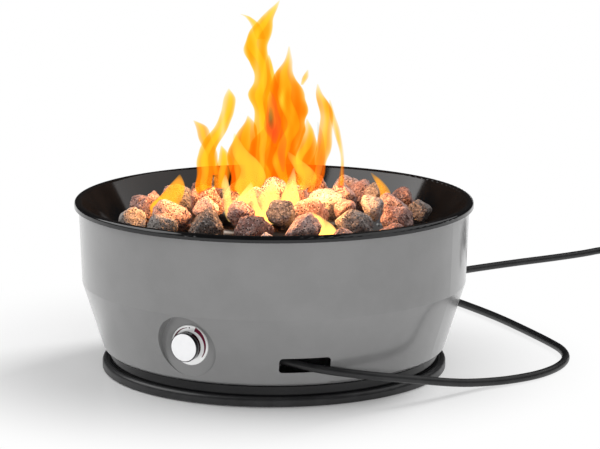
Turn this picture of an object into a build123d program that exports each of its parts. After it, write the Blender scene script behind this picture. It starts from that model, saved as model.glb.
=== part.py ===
"""Propane fire pit: a round steel shell on a base ring, with a fire bowl of lava rock over a gas burner.

A push-and-turn valve behind the front knob feeds the burner, from a hose with a regulator at its far end.
Sizes are in millimetres. The origin is on the floor under the middle of the bowl, +Z is up, and the knob
faces -Y.
"""

import math
import os
import random

from build123d import *

os.makedirs("parts", exist_ok=True)

# Fits and clearances
running_fit = 0.05
slide_gap = 0.3
hole_room = 0.1
cut_over = 1.0
measure_points = 400

# Fire bowl and its rim
rim_radius = 266.7
rim_height = 228.0
rim_lip = 8.0
rim_width = 9.5
rim_roll = 4.0
bowl_depth = 45.6
bowl_floor_radius = 228.0
bowl_corner = 6.0
bowl_sheet = 1.2

# Shell
shell_sheet = 1.2
shell_lip_gap = 4.5
shell_rim_gap = 0.8
shell_break_radius = 257.4
shell_break_height = 119.5
shell_foot_roll = 8.0
shell_break_roll = 5.0
flange_margin = 7.0
foot_overhang = 6.6

# Base ring, pedestal skirt and feet
ring_overhang = 9.6
ring_stand = 1.5
ring_top = 14.0
ring_ledge = 8.0
ring_wall = 3.0
ring_nose = 5.5
ring_bead = 5.6
ring_groove_width = 1.6
ring_groove_depth = 3.0
ring_step = 1.0
skirt_margin = 9.0
skirt_height = 19.2
skirt_sheet = 1.2
skirt_corner = 2.0
skirt_room = 0.6
foot_radius = 7.0
foot_count = 4
foot_angle = 45.0
base_fixing_radius = 213.0
base_fixing_count = 6
fixing_shank = 2.0
fixing_head = 4.0
fixing_head_height = 1.6

# Burner
burner_radius = 115.0
burner_tube = 8.0
burner_wall = 1.2
burner_lift = 14.0
port_radius = 1.0
half_ring_ports = 18
bar_ports = 10
bar_port_step = 18.0
inlet_radius = 10.0
inlet_bore = 7.0
inlet_drop = 22.0
inlet_flange = 16.0
inlet_flange_height = 3.0
locknut_across = 30.0
locknut_height = 6.0

# Air mixer, jet and gas tube
mixer_radius = 13.0
mixer_length = 50.0
mixer_bore = 8.0
mixer_floor = 4.0
window_width = 9.0
window_height = 14.0
jet_across = 12.0
jet_hex = 8.0
jet_shank = 5.0
jet_bore = 2.5
jet_orifice = 0.6
tube_radius = 4.0
tube_wall = 1.2
tube_bend = 24.0
tube_nut_across = 14.0
tube_nut_length = 12.0

# Heat shield
shield_wall_gap = 32.4
shield_sheet = 1.0
shield_edge = 8.0
spacer_radius = 6.0
spacer_length = 30.0
shield_fixing_radius = 150.0
shield_fixing_count = 4
shield_fixing_angle = 45.0
shield_screw = 2.5
shield_head = 4.5
shield_head_height = 2.6
shield_mixer_gap = 2.0
shield_screw_tail = 6.0
shield_nut_across = 8.0
shield_nut_height = 4.0

# Knob dish, bezel and knob
knob_height = 76.4
dish_depth = 12.95
dish_radius = 41.0
bezel_radius = 26.0
bezel_thickness = 3.0
bezel_hole = 9.0
knob_radius = 19.0
knob_thickness = 10.8
push_room = 0.7
knob_edge = 1.6
hub_radius = 8.0
hub_length = 3.0
knob_face = 3.3
clip_thickness = 0.4
flat_offset = 2.0
flat_length = 11.0

# Valve
push_travel = 3.5
bonnet_thickness = 3.0
bonnet_width = 46.0
bonnet_height = 26.0
snout_radius = 6.0
valve_screw_spread = 17.0
valve_screw = 2.0
valve_screw_head = 3.5
valve_screw_head_height = 1.8
valve_radius = 14.0
valve_flange = 4.0
valve_length = 51.0
chamber_radius = 7.0
chamber_length = 19.0
plug_radius = 6.0
plug_length = 27.0
plug_slot = 2.2
plug_slot_room = 2.0
gas_bore = 2.5
inlet_depth = 39.0
outlet_radius = 7.0
outlet_length = 8.0
stem_radius = 3.0
shoulder_radius = 4.5
shoulder_length = 1.5
washer_radius = 6.0
washer_thickness = 1.2
tongue_thickness = 2.0
tongue_grip = 1.5
tongue_room = 0.5
spring_wire = 0.8
spring_radius = 4.6
spring_turns = 6

# Hose fitting on the valve
inlet_tilt = 9.0
boss_radius = 9.0
boss_reach = 24.0
fitting_across = 17.0
fitting_length = 12.0
crimp_radius = 8.0
crimp_length = 24.0

# Hose slot in the shell
slot_angle = 36.8
slot_height = 56.6
slot_width = 66.0
slot_tall = 20.0
slot_corner = 5.0

# Hose, its coil and tie
hose_radius = 5.5
hose_bend_share = 0.45
coil_centre = (238.0, 889.0)
coil_start_angle = 150.0
coil_mean_radius = 66.0
coil_turns = 1230.0 / 360.0
coil_pitch = 11.6
tie_thickness = 1.2
tie_width = 16.0
tie_ease = 0.9
tie_corner = 4.0
tie_angle = -115.0
tail_length = 106.0
tail_straight = 32.0
hose_lead_out = 139.0
hose_entry_run = 50.0

# Regulator, lying on the edge of its flange
regulator_radius = 31.0
regulator_flange = 4.0
regulator_case = 24.0
regulator_depth = 16.0
regulator_room = 18.0
regulator_port = 7.0
regulator_reach = 40.0
diaphragm_thickness = 0.8
cover_flange = 3.2
cover_radius = 22.0
cover_height = 13.0
cover_wall = 2.0
cover_screw_count = 6
cover_screw_angle = 30.0
cover_screw = 1.6
cover_screw_head = 2.8
cover_screw_spread = 27.4
regulator_spring_wire = 1.2
regulator_spring_radius = 8.0
regulator_spring_turns = 4
nipple_radius = 6.0
nipple_bore = 2.6
nose_radius = 5.5
nose_length = 21.4
nose_chamfer = 1.8
nipple_collar = 9.5
nipple_collar_length = 3.0
nut_radius = 23.0
nut_length = 36.0
nut_wall_end = 5.0
nut_bore = 14.5
nut_grips = 12
nut_grip_radius = 3.0
seal_radius = 7.2
seal_length = 4.0

# Lava rock
rock_count = 45
rock_smallest = 18.0
rock_largest = 40.0
rock_wall_gap = 9.0
rock_tries = 1500
rock_heap = 81.6
rock_fall = 0.15
rock_corners = 14
rock_dent = 0.84
rock_jitter = 0.3
grey_every = 3
rock_seed = 5

# Places that follow from the sizes
bowl_floor = rim_height - bowl_depth
bowl_underside = bowl_floor - bowl_sheet
shell_foot = ring_ledge + skirt_height
flange_radius = base_fixing_radius - flange_margin
skirt_radius = base_fixing_radius + skirt_margin
shell_foot_radius = skirt_radius + foot_overhang
ring_radius = skirt_radius + ring_overhang
shell_top = rim_height - bowl_sheet - shell_rim_gap
shell_top_radius = rim_radius - bowl_sheet - shell_lip_gap
burner_height = bowl_floor + burner_lift
locknut_bottom = bowl_underside - locknut_height
mixer_top = locknut_bottom - slide_gap
mixer_bottom = mixer_top - mixer_length
jet_bottom = mixer_bottom - jet_hex
shield_top = bowl_underside - spacer_length
shield_radius = shell_break_radius - shield_wall_gap
shield_dome = (shield_head**2 + shield_head_height**2) / (2 * shield_head_height)
shield_dome_middle = bowl_floor + shield_head_height - shield_dome
shield_dome_start = math.degrees(math.asin(1 - shield_head_height / shield_dome))
inlet_hole = inlet_radius + hole_room
shield_hole = shield_screw + hole_room
cone_slope = (shell_break_radius - shell_foot_radius) / (shell_break_height - shell_foot)
knob_wall_radius = shell_foot_radius + cone_slope * (knob_height - shell_foot)
dish_distance = knob_wall_radius - dish_depth
front = Plane(origin=(0, -dish_distance, knob_height), x_dir=(1, 0, 0), z_dir=(0, -1, 0))
chamber_start = -shell_sheet - bonnet_thickness
plug_start = chamber_start - chamber_length
valve_back = chamber_start - valve_length
outlet_face = valve_back - outlet_length
tongue_length = tongue_grip + push_travel + tongue_room
rock_clear_radius = bowl_floor_radius - rock_wall_gap
rock_top = bowl_floor + rock_heap


def hexagon(across):
    """A hexagon by its width across flats."""
    RegularPolygon(across / 2, 6, major_radius=False)


# Shell: a solid of the outside, less the dish, the room inside and the openings
def shell_section(inset, top):
    """Half section of the shell's outside, moved in by a wall."""
    base = shell_foot + inset
    with BuildLine() as outline:
        FilletPolyline(
            (0, base),
            (shell_foot_radius - inset, base),
            (shell_break_radius - inset, shell_break_height),
            (shell_top_radius - inset, top),
            radius=[shell_foot_roll - inset, shell_break_roll],
        )
        Polyline((shell_top_radius - inset, top), (0, top), (0, base))
    make_face(outline.edges())


with BuildPart() as shell_room:
    with BuildSketch(Plane.XZ):
        shell_section(shell_sheet, shell_top + cut_over)
    revolve(axis=Axis.Z)
    with BuildSketch(front.offset(-shell_sheet)):
        Circle(dish_radius + shell_sheet)
    extrude(amount=shell_break_radius, mode=Mode.SUBTRACT)

slot_plane = Plane(
    origin=(0, 0, slot_height),
    x_dir=(math.cos(math.radians(slot_angle)), math.sin(math.radians(slot_angle)), 0),
    z_dir=(math.sin(math.radians(slot_angle)), -math.cos(math.radians(slot_angle)), 0),
)

with BuildPart() as outer_shell:
    with BuildSketch(Plane.XZ):
        shell_section(0, shell_top)
    revolve(axis=Axis.Z)
    with BuildSketch(front):
        Circle(dish_radius)
    extrude(amount=shell_break_radius, mode=Mode.SUBTRACT)
    add(shell_room.part, mode=Mode.SUBTRACT)
    with BuildSketch(Plane.XY.offset(shell_foot)):
        Circle(flange_radius)
        with PolarLocations(base_fixing_radius, base_fixing_count):
            Circle(fixing_shank + hole_room)
    extrude(amount=shell_sheet, mode=Mode.SUBTRACT)
    with BuildSketch(slot_plane):
        RectangleRounded(slot_width, slot_tall, slot_corner)
    extrude(amount=rim_radius, mode=Mode.SUBTRACT)
    with BuildSketch(front):
        Circle(snout_radius + hole_room)
        with Locations((-valve_screw_spread, 0), (valve_screw_spread, 0)):
            Circle(valve_screw + hole_room)
    extrude(amount=-shell_sheet, mode=Mode.SUBTRACT)
outer_shell.part.label = "outer_shell"
export_step(outer_shell.part, "parts/outer_shell.step")

# Fire bowl: one sheet, from the rolled lip over the rim and down to the floor
with BuildPart() as fire_bowl:
    with BuildSketch(Plane.XZ):
        with BuildLine():
            FilletPolyline(
                (rim_radius, rim_height - rim_lip),
                (rim_radius, rim_height),
                (rim_radius - rim_width, rim_height),
                (bowl_floor_radius, bowl_floor),
                (inlet_hole, bowl_floor),
                radius=[rim_roll, rim_roll, bowl_corner],
            )
            offset(amount=bowl_sheet, side=Side.LEFT)
        make_face()
    revolve(axis=Axis.Z)
    with BuildSketch(Plane.XY.offset(bowl_underside)):
        with PolarLocations(shield_fixing_radius, shield_fixing_count, shield_fixing_angle):
            Circle(shield_hole)
    extrude(amount=bowl_sheet, mode=Mode.SUBTRACT)
fire_bowl.part.label = "fire_bowl"
export_step(fire_bowl.part, "parts/fire_bowl.step")

# Pedestal skirt: a channel between the base ring and the shell's flange
with BuildPart() as pedestal_skirt:
    with BuildSketch(Plane.XZ):
        with BuildLine():
            FilletPolyline(
                (flange_radius, ring_ledge),
                (skirt_radius, ring_ledge),
                (skirt_radius, shell_foot),
                (flange_radius, shell_foot),
                radius=skirt_corner,
            )
            offset(amount=skirt_sheet, side=Side.LEFT)
        make_face()
    revolve(axis=Axis.Z)
    with BuildSketch(Plane.XY.offset(ring_ledge)):
        with PolarLocations(base_fixing_radius, base_fixing_count):
            Circle(fixing_shank + hole_room)
    extrude(amount=skirt_height, mode=Mode.SUBTRACT)
pedestal_skirt.part.label = "pedestal_skirt"
export_step(pedestal_skirt.part, "parts/pedestal_skirt.step")

# Base ring: a moulded channel, open below, with a bead and a groove outside the skirt
groove_outer = ring_radius - ring_bead
groove_inner = groove_outer - ring_groove_width
skirt_seat = skirt_radius + skirt_room
ring_inner = flange_radius + ring_wall / 2
with BuildPart() as base_ring:
    with BuildSketch(Plane.XZ) as ring_section:
        with BuildLine():
            Polyline(
                (ring_inner, ring_stand),
                (ring_inner, ring_ledge),
                (skirt_seat, ring_ledge),
                (skirt_seat, ring_top - ring_step),
                (groove_inner, ring_top - ring_step),
                (groove_inner, ring_top - ring_groove_depth),
                (groove_outer, ring_top - ring_groove_depth),
                (groove_outer, ring_top),
                (ring_radius, ring_top),
                (ring_radius, ring_stand),
                (ring_radius - ring_wall, ring_stand),
                (ring_radius - ring_wall, ring_ledge - ring_wall),
                (ring_inner + ring_wall, ring_ledge - ring_wall),
                (ring_inner + ring_wall, ring_stand),
                close=True,
            )
        make_face()
        fillet(ring_section.vertices().sort_by_distance((ring_radius, ring_top))[0], ring_nose)
    revolve(axis=Axis.Z)
    with BuildSketch(Plane.XY.offset(ring_ledge)):
        with PolarLocations(base_fixing_radius, base_fixing_count):
            Circle(fixing_shank + running_fit)
    extrude(amount=-ring_wall, mode=Mode.SUBTRACT)
base_ring.part.label = "base_ring"
export_step(base_ring.part, "parts/base_ring.step")

# Rubber feet, pressed up into the channel of the base ring
foot_place_radius = (ring_radius - ring_wall + ring_inner + ring_wall) / 2
with BuildPart() as rubber_feet:
    with BuildSketch(Plane.XY):
        with PolarLocations(foot_place_radius, foot_count, foot_angle):
            Circle(foot_radius)
    extrude(amount=ring_ledge - ring_wall)
rubber_feet.part.label = "rubber_feet"
export_step(rubber_feet.part, "parts/rubber_feet.step")

# Rivets that hold the shell's flange to the skirt
with BuildPart() as shell_rivets:
    with PolarLocations(base_fixing_radius, base_fixing_count):
        with Locations((0, 0, shell_foot - skirt_sheet - fixing_head_height)):
            Cylinder(fixing_head, fixing_head_height, align=(Align.CENTER, Align.CENTER, Align.MIN))
        with Locations((0, 0, shell_foot - skirt_sheet)):
            Cylinder(fixing_shank, skirt_sheet + shell_sheet, align=(Align.CENTER, Align.CENTER, Align.MIN))
        with Locations((0, 0, shell_foot + shell_sheet)):
            Cylinder(fixing_head, fixing_head_height, align=(Align.CENTER, Align.CENTER, Align.MIN))
shell_rivets.part.label = "shell_rivets"
export_step(shell_rivets.part, "parts/shell_rivets.step")

# Screws that hold the skirt to the base ring
with BuildPart() as ring_screws:
    with PolarLocations(base_fixing_radius, base_fixing_count):
        with Locations((0, 0, ring_ledge - ring_wall)):
            Cylinder(fixing_shank, ring_wall + skirt_sheet, align=(Align.CENTER, Align.CENTER, Align.MIN))
        with Locations((0, 0, ring_ledge + skirt_sheet)):
            Cylinder(fixing_head, fixing_head_height, align=(Align.CENTER, Align.CENTER, Align.MIN))
ring_screws.part.label = "ring_screws"
export_step(ring_screws.part, "parts/ring_screws.step")

# Heat shield under the bowl, hung on four screws with spacers
with BuildPart() as heat_shield:
    with BuildSketch(Plane.XZ):
        with BuildLine():
            Polyline(
                (mixer_radius + shield_mixer_gap, shield_top),
                (shield_radius, shield_top),
                (shield_radius, shield_top - shield_edge),
            )
            offset(amount=shield_sheet, side=Side.RIGHT)
        make_face()
    revolve(axis=Axis.Z)
    with BuildSketch(Plane.XY.offset(shield_top)):
        with PolarLocations(shield_fixing_radius, shield_fixing_count, shield_fixing_angle):
            Circle(shield_hole)
    extrude(amount=-shield_sheet, mode=Mode.SUBTRACT)
heat_shield.part.label = "heat_shield"
export_step(heat_shield.part, "parts/heat_shield.step")

with BuildPart() as shield_spacers:
    with BuildSketch(Plane.XY.offset(shield_top)):
        with PolarLocations(shield_fixing_radius, shield_fixing_count, shield_fixing_angle):
            Circle(spacer_radius)
            Circle(shield_hole, mode=Mode.SUBTRACT)
    extrude(amount=spacer_length)
shield_spacers.part.label = "shield_spacers"
export_step(shield_spacers.part, "parts/shield_spacers.step")

shield_screw_length = bowl_sheet + spacer_length + shield_sheet + shield_screw_tail
with BuildPart() as shield_screws:
    with BuildSketch(Plane.XY.offset(bowl_floor)):
        with PolarLocations(shield_fixing_radius, shield_fixing_count, shield_fixing_angle):
            Circle(shield_screw)
    extrude(amount=-shield_screw_length)
    with Locations((0, 0, shield_dome_middle)):
        with PolarLocations(shield_fixing_radius, shield_fixing_count, shield_fixing_angle):
            Sphere(shield_dome, arc_size1=shield_dome_start, align=None)
shield_screws.part.label = "shield_screws"
export_step(shield_screws.part, "parts/shield_screws.step")

with BuildPart() as shield_nuts:
    with BuildSketch(Plane.XY.offset(shield_top - shield_sheet)):
        with PolarLocations(shield_fixing_radius, shield_fixing_count, shield_fixing_angle):
            hexagon(shield_nut_across)
            Circle(shield_screw + running_fit, mode=Mode.SUBTRACT)
    extrude(amount=-shield_nut_height)
shield_nuts.part.label = "shield_nuts"
export_step(shield_nuts.part, "parts/shield_nuts.step")

# Burner ring: two half rings of tube, drilled along the top and welded to the crossbar's ends
with BuildPart() as half_ring:
    with BuildSketch(Plane.XZ):
        with Locations((burner_radius, burner_height)):
            Circle(burner_tube)
            Circle(burner_tube - burner_wall, mode=Mode.SUBTRACT)
    revolve(axis=Axis.Z, revolution_arc=180)
    with BuildSketch(Plane.XY.offset(burner_height)):
        with PolarLocations(burner_radius, half_ring_ports, 90 / half_ring_ports, 180):
            Circle(port_radius)
    extrude(amount=2 * burner_tube, mode=Mode.SUBTRACT)
    with BuildSketch(Plane.YZ.offset(-burner_radius)):
        with Locations((0, burner_height)):
            Circle(burner_tube - 2 * burner_wall)
    extrude(amount=2 * burner_radius, mode=Mode.SUBTRACT)
other_half = mirror(half_ring.part, about=Plane.XZ, mode=Mode.PRIVATE)
burner_ring = Compound(label="burner_ring", children=[half_ring.part, other_half])
export_step(burner_ring, "parts/burner_ring.step")

# Burner crossbar: feeds the ring at both ends
with BuildPart() as burner_crossbar:
    with BuildSketch(Plane.YZ.offset(-burner_radius)):
        with Locations((0, burner_height)):
            Circle(burner_tube)
            Circle(burner_tube - burner_wall, mode=Mode.SUBTRACT)
    extrude(amount=2 * burner_radius)
    with Locations((0, 0, burner_height)):
        Torus(burner_radius, burner_tube + running_fit, mode=Mode.SUBTRACT)
    with BuildSketch(Plane.XY.offset(burner_height)):
        with GridLocations(bar_port_step, 1, bar_ports, 1):
            Circle(port_radius)
    extrude(amount=2 * burner_tube, mode=Mode.SUBTRACT)
    with BuildSketch(Plane.XY.offset(burner_height)):
        Circle(burner_tube - 2 * burner_wall)
    extrude(amount=-2 * burner_tube, mode=Mode.SUBTRACT)
burner_crossbar.part.label = "burner_crossbar"
export_step(burner_crossbar.part, "parts/burner_crossbar.step")

# Burner inlet: a collared pipe through the bowl's floor, up to the crossbar
with BuildPart() as burner_inlet:
    with BuildSketch(Plane.XY.offset(bowl_floor - inlet_drop)):
        Circle(inlet_radius)
    extrude(amount=inlet_drop + burner_lift)
    with BuildSketch(Plane.XY.offset(bowl_floor)):
        Circle(inlet_flange)
    extrude(amount=inlet_flange_height)
    with BuildSketch(Plane.XY.offset(bowl_floor - inlet_drop)):
        Circle(inlet_bore)
    extrude(amount=inlet_drop + burner_lift, mode=Mode.SUBTRACT)
    with BuildSketch(Plane.YZ.offset(-inlet_flange)):
        with Locations((0, burner_height)):
            Circle(burner_tube + running_fit)
    extrude(amount=2 * inlet_flange, mode=Mode.SUBTRACT)
burner_inlet.part.label = "burner_inlet"
export_step(burner_inlet.part, "parts/burner_inlet.step")

with BuildPart() as burner_locknut:
    with BuildSketch(Plane.XY.offset(locknut_bottom)):
        hexagon(locknut_across)
        Circle(inlet_radius + running_fit, mode=Mode.SUBTRACT)
    extrude(amount=locknut_height)
burner_locknut.part.label = "burner_locknut"
export_step(burner_locknut.part, "parts/burner_locknut.step")

# Air mixer: screws on to the inlet, with two windows that let air in over the jet
inlet_socket = mixer_top - (bowl_floor - inlet_drop)
window_base = mixer_bottom + mixer_floor + jet_shank
with BuildPart() as air_mixer:
    with BuildSketch(Plane.XY.offset(mixer_bottom)):
        Circle(mixer_radius)
    extrude(amount=mixer_length)
    with BuildSketch(Plane.XY.offset(mixer_bottom)):
        Circle(jet_shank + running_fit)
    extrude(amount=mixer_floor, mode=Mode.SUBTRACT)
    with BuildSketch(Plane.XY.offset(mixer_bottom + mixer_floor)):
        Circle(mixer_bore)
    extrude(amount=mixer_length, mode=Mode.SUBTRACT)
    with BuildSketch(Plane.XY.offset(mixer_top)):
        Circle(inlet_radius + running_fit)
    extrude(amount=-inlet_socket - running_fit, mode=Mode.SUBTRACT)
    with BuildSketch(Plane.XZ.offset(-mixer_radius)):
        with Locations((0, window_base + window_height / 2)):
            RectangleRounded(window_width, window_height, window_width / 3)
    extrude(amount=2 * mixer_radius, mode=Mode.SUBTRACT)
air_mixer.part.label = "air_mixer"
export_step(air_mixer.part, "parts/air_mixer.step")

with BuildPart() as gas_jet:
    with BuildSketch(Plane.XY.offset(jet_bottom)):
        hexagon(jet_across)
    extrude(amount=jet_hex)
    with BuildSketch(Plane.XY.offset(mixer_bottom)):
        Circle(jet_shank)
    extrude(amount=mixer_floor + jet_shank)
    with BuildSketch(Plane.XY.offset(jet_bottom)):
        Circle(jet_bore)
    extrude(amount=jet_hex + mixer_floor, mode=Mode.SUBTRACT)
    with BuildSketch(Plane.XY.offset(jet_bottom)):
        Circle(jet_orifice)
    extrude(amount=mixer_length, mode=Mode.SUBTRACT)
gas_jet.part.label = "gas_jet"
export_step(gas_jet.part, "parts/gas_jet.step")

# Gas tube: straight back from the valve, then up to the jet
tube_start = -dish_distance - outlet_face
with BuildPart() as gas_tube:
    with BuildLine():
        FilletPolyline(
            (0, tube_start, knob_height),
            (0, 0, knob_height),
            (0, 0, jet_bottom),
            radius=tube_bend,
        )
    with BuildSketch(front.offset(outlet_face)):
        Circle(tube_radius)
        Circle(tube_radius - tube_wall, mode=Mode.SUBTRACT)
    sweep()
gas_tube.part.label = "gas_tube"
export_step(gas_tube.part, "parts/gas_tube.step")

with BuildPart() as tube_nuts:
    with BuildSketch(front.offset(outlet_face)):
        hexagon(tube_nut_across)
        Circle(tube_radius + running_fit, mode=Mode.SUBTRACT)
    extrude(amount=-tube_nut_length)
    with BuildSketch(Plane.XY.offset(jet_bottom)):
        hexagon(tube_nut_across)
        Circle(tube_radius + running_fit, mode=Mode.SUBTRACT)
    extrude(amount=-tube_nut_length)
tube_nuts.part.label = "tube_nuts"
export_step(tube_nuts.part, "parts/tube_nuts.step")

# Valve body: flange, barrel with spring chamber and plug bore, inlet boss to the right, outlet at the back
tilt = math.radians(inlet_tilt)
inlet_axis = Vector(math.cos(tilt), 0, -math.sin(tilt))
inlet_middle = Vector(0, -dish_distance + inlet_depth, knob_height)
inlet_plane = Plane(origin=inlet_middle, x_dir=(0, 1, 0), z_dir=inlet_axis)
with BuildPart() as valve_body:
    with BuildSketch(front.offset(chamber_start)):
        RectangleRounded(bonnet_width, bonnet_height, bonnet_height / 4)
    extrude(amount=-valve_flange)
    with BuildSketch(front.offset(chamber_start)):
        Circle(valve_radius)
    extrude(amount=-valve_length)
    with BuildSketch(front.offset(valve_back)):
        Circle(outlet_radius)
    extrude(amount=-outlet_length)
    with BuildSketch(inlet_plane):
        Circle(boss_radius)
    extrude(amount=boss_reach)
    with BuildSketch(front.offset(chamber_start)):
        Circle(chamber_radius)
    extrude(amount=-chamber_length, mode=Mode.SUBTRACT)
    with BuildSketch(front.offset(plug_start)):
        Circle(plug_radius + running_fit)
    extrude(amount=-plug_length - slide_gap, mode=Mode.SUBTRACT)
    with BuildSketch(front.offset(plug_start)):
        Circle(gas_bore)
    extrude(amount=outlet_face - plug_start, mode=Mode.SUBTRACT)
    with BuildSketch(inlet_plane):
        Circle(gas_bore)
    extrude(amount=boss_reach, mode=Mode.SUBTRACT)
    with BuildSketch(front.offset(chamber_start)):
        with Locations((-valve_screw_spread, 0), (valve_screw_spread, 0)):
            Circle(valve_screw + running_fit)
    extrude(amount=-valve_flange, mode=Mode.SUBTRACT)
valve_body.part.label = "valve_body"
export_step(valve_body.part, "parts/valve_body.step")

# Valve bonnet: closes the chamber, with a snout through the panel that guides the stem
with BuildPart() as valve_bonnet:
    with BuildSketch(front.offset(chamber_start)):
        RectangleRounded(bonnet_width, bonnet_height, bonnet_height / 4)
        with Locations((-valve_screw_spread, 0), (valve_screw_spread, 0)):
            Circle(valve_screw + hole_room, mode=Mode.SUBTRACT)
    extrude(amount=bonnet_thickness)
    with BuildSketch(front):
        Circle(snout_radius)
    extrude(amount=-shell_sheet)
    with BuildSketch(front):
        Circle(stem_radius + running_fit)
    extrude(amount=chamber_start, mode=Mode.SUBTRACT)
valve_bonnet.part.label = "valve_bonnet"
export_step(valve_bonnet.part, "parts/valve_bonnet.step")

with BuildPart() as valve_screws:
    with BuildSketch(front):
        with Locations((-valve_screw_spread, 0), (valve_screw_spread, 0)):
            Circle(valve_screw)
    extrude(amount=chamber_start - valve_flange)
    with BuildSketch(front):
        with Locations((-valve_screw_spread, 0), (valve_screw_spread, 0)):
            Circle(valve_screw_head)
    extrude(amount=valve_screw_head_height)
valve_screws.part.label = "valve_screws"
export_step(valve_screws.part, "parts/valve_screws.step")

# Valve plug: slotted for the stem's tongue, with a side port into its bore
with BuildPart() as valve_plug:
    with BuildSketch(front.offset(plug_start)):
        Circle(plug_radius)
    extrude(amount=-plug_length)
    with BuildSketch(front.offset(plug_start)):
        Rectangle(plug_slot, 3 * plug_radius)
    extrude(amount=-tongue_grip - push_travel - plug_slot_room, mode=Mode.SUBTRACT)
    with BuildSketch(front.offset(-inlet_depth)):
        Circle(gas_bore)
    extrude(amount=-plug_length, mode=Mode.SUBTRACT)
    with BuildSketch(inlet_plane):
        Circle(gas_bore)
    extrude(amount=plug_radius + cut_over, mode=Mode.SUBTRACT)
valve_plug.part.label = "valve_plug"
export_step(valve_plug.part, "parts/valve_plug.step")

# Valve stem: flatted in the knob, shouldered behind the bonnet, with a tongue in the plug's slot
knob_back = bezel_thickness + push_travel + push_room
knob_front = knob_back + knob_thickness
stem_front = knob_front - knob_face
shoulder_start = chamber_start - slide_gap
tongue_end = plug_start - tongue_grip
stem_back = tongue_end + tongue_length
with BuildPart() as valve_stem:
    with BuildSketch(front.offset(stem_front)):
        Circle(stem_radius)
    extrude(amount=stem_back - stem_front)
    with BuildSketch(front.offset(shoulder_start)):
        Circle(shoulder_radius)
    extrude(amount=-shoulder_length)
    with BuildSketch(front.offset(stem_back)):
        Circle(stem_radius)
        Rectangle(tongue_thickness, 3 * stem_radius, mode=Mode.INTERSECT)
    extrude(amount=-tongue_length)
    with BuildSketch(front.offset(stem_front)):
        with Locations((0, flat_offset)):
            Rectangle(4 * stem_radius, stem_radius, align=(Align.CENTER, Align.MIN))
    extrude(amount=-flat_length, mode=Mode.SUBTRACT)
valve_stem.part.label = "valve_stem"
export_step(valve_stem.part, "parts/valve_stem.step")

washer_start = shoulder_start - shoulder_length - running_fit
washer_end = washer_start - washer_thickness
with BuildPart() as stem_washer:
    with BuildSketch(front.offset(washer_start)):
        Circle(washer_radius)
        Circle(stem_radius + running_fit, mode=Mode.SUBTRACT)
    extrude(amount=-washer_thickness)
stem_washer.part.label = "stem_washer"
export_step(stem_washer.part, "parts/stem_washer.step")


# Windings: one unbroken tube on pairs of arcs, with a straight lead at each end
def heading(curve, turn):
    """The direction of a winding at a place on it, counted in turns."""
    step = 0.001
    return (curve(turn + step) - curve(turn - step)).normalized()


def biarc(start, start_way, end, end_way):
    """Two arcs that meet smoothly, from one place and direction to the next."""
    chord = end - start
    turned = 2 * (1 - start_way.dot(end_way))
    along = chord.dot(start_way + end_way)
    reach = (math.sqrt(along**2 + turned * chord.dot(chord)) - along) / turned
    joint = (start + end + (start_way - end_way) * reach) / 2
    middle_way = (end - end_way * reach) - (start + start_way * reach)
    TangentArc(start, joint, tangent=start_way)
    TangentArc(joint, end, tangent=middle_way.normalized())


def winding(curve, stops, thickness, lead):
    """A tube of that half thickness along a winding, through the stops, with straight leads."""
    places = [curve(stop) for stop in stops]
    ways = [heading(curve, stop) for stop in stops]
    with BuildPart() as tube:
        with BuildLine():
            Line(places[0] - ways[0] * lead, places[0])
            for k in range(len(stops) - 1):
                biarc(places[k], ways[k], places[k + 1], ways[k + 1])
            Line(places[-1], places[-1] + ways[-1] * lead)
        with BuildSketch(Plane(origin=places[0] - ways[0] * lead, z_dir=ways[0])):
            Circle(thickness)
        sweep()
    return tube


def least_gap(curve, first, last, thickness):
    """The least gap between the turns of a winding, measured on points."""
    places = [curve(first + (last - first) * k / measure_points) for k in range(measure_points + 1)]
    apart = math.ceil(measure_points / (last - first) / 4)
    gaps = [
        (places[a] - places[b]).length - 2 * thickness
        for a in range(measure_points + 1)
        for b in range(a + apart, measure_points + 1)
    ]
    return min(gaps)


# Stem spring, between the washer and the plug
spring_front = washer_end - slide_gap - spring_wire / 2
spring_back = plug_start + slide_gap + spring_wire / 2


def stem_spring_curve(turn):
    """A place on the stem spring."""
    angle = math.radians(360 * turn)
    depth = spring_front + (spring_back - spring_front) * turn / spring_turns
    return front.from_local_coords(
        Vector(spring_radius * math.cos(angle), spring_radius * math.sin(angle), depth)
    )


quarter_stops = [k / 4 for k in range(4 * spring_turns + 1)]
stem_spring = winding(stem_spring_curve, quarter_stops, spring_wire / 2, spring_wire)
print("stem spring gap", round(least_gap(stem_spring_curve, 0, spring_turns, spring_wire / 2), 2))
stem_spring.part.label = "stem_spring"
export_step(stem_spring.part, "parts/stem_spring.step")

# Bezel: a disc in the dish, relieved at the back for the screw heads
with BuildPart() as knob_bezel:
    with BuildSketch(front):
        Circle(bezel_radius)
        Circle(bezel_hole, mode=Mode.SUBTRACT)
    extrude(amount=bezel_thickness)
    chamfer(knob_bezel.faces().sort_by(Axis.Y)[0].outer_wire().edges(), bezel_thickness / 4)
    with BuildSketch(front):
        with Locations((-valve_screw_spread, 0), (valve_screw_spread, 0)):
            Circle(valve_screw_head + slide_gap)
    extrude(amount=valve_screw_head_height + slide_gap, mode=Mode.SUBTRACT)
knob_bezel.part.label = "knob_bezel"
export_step(knob_bezel.part, "parts/knob_bezel.step")

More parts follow.
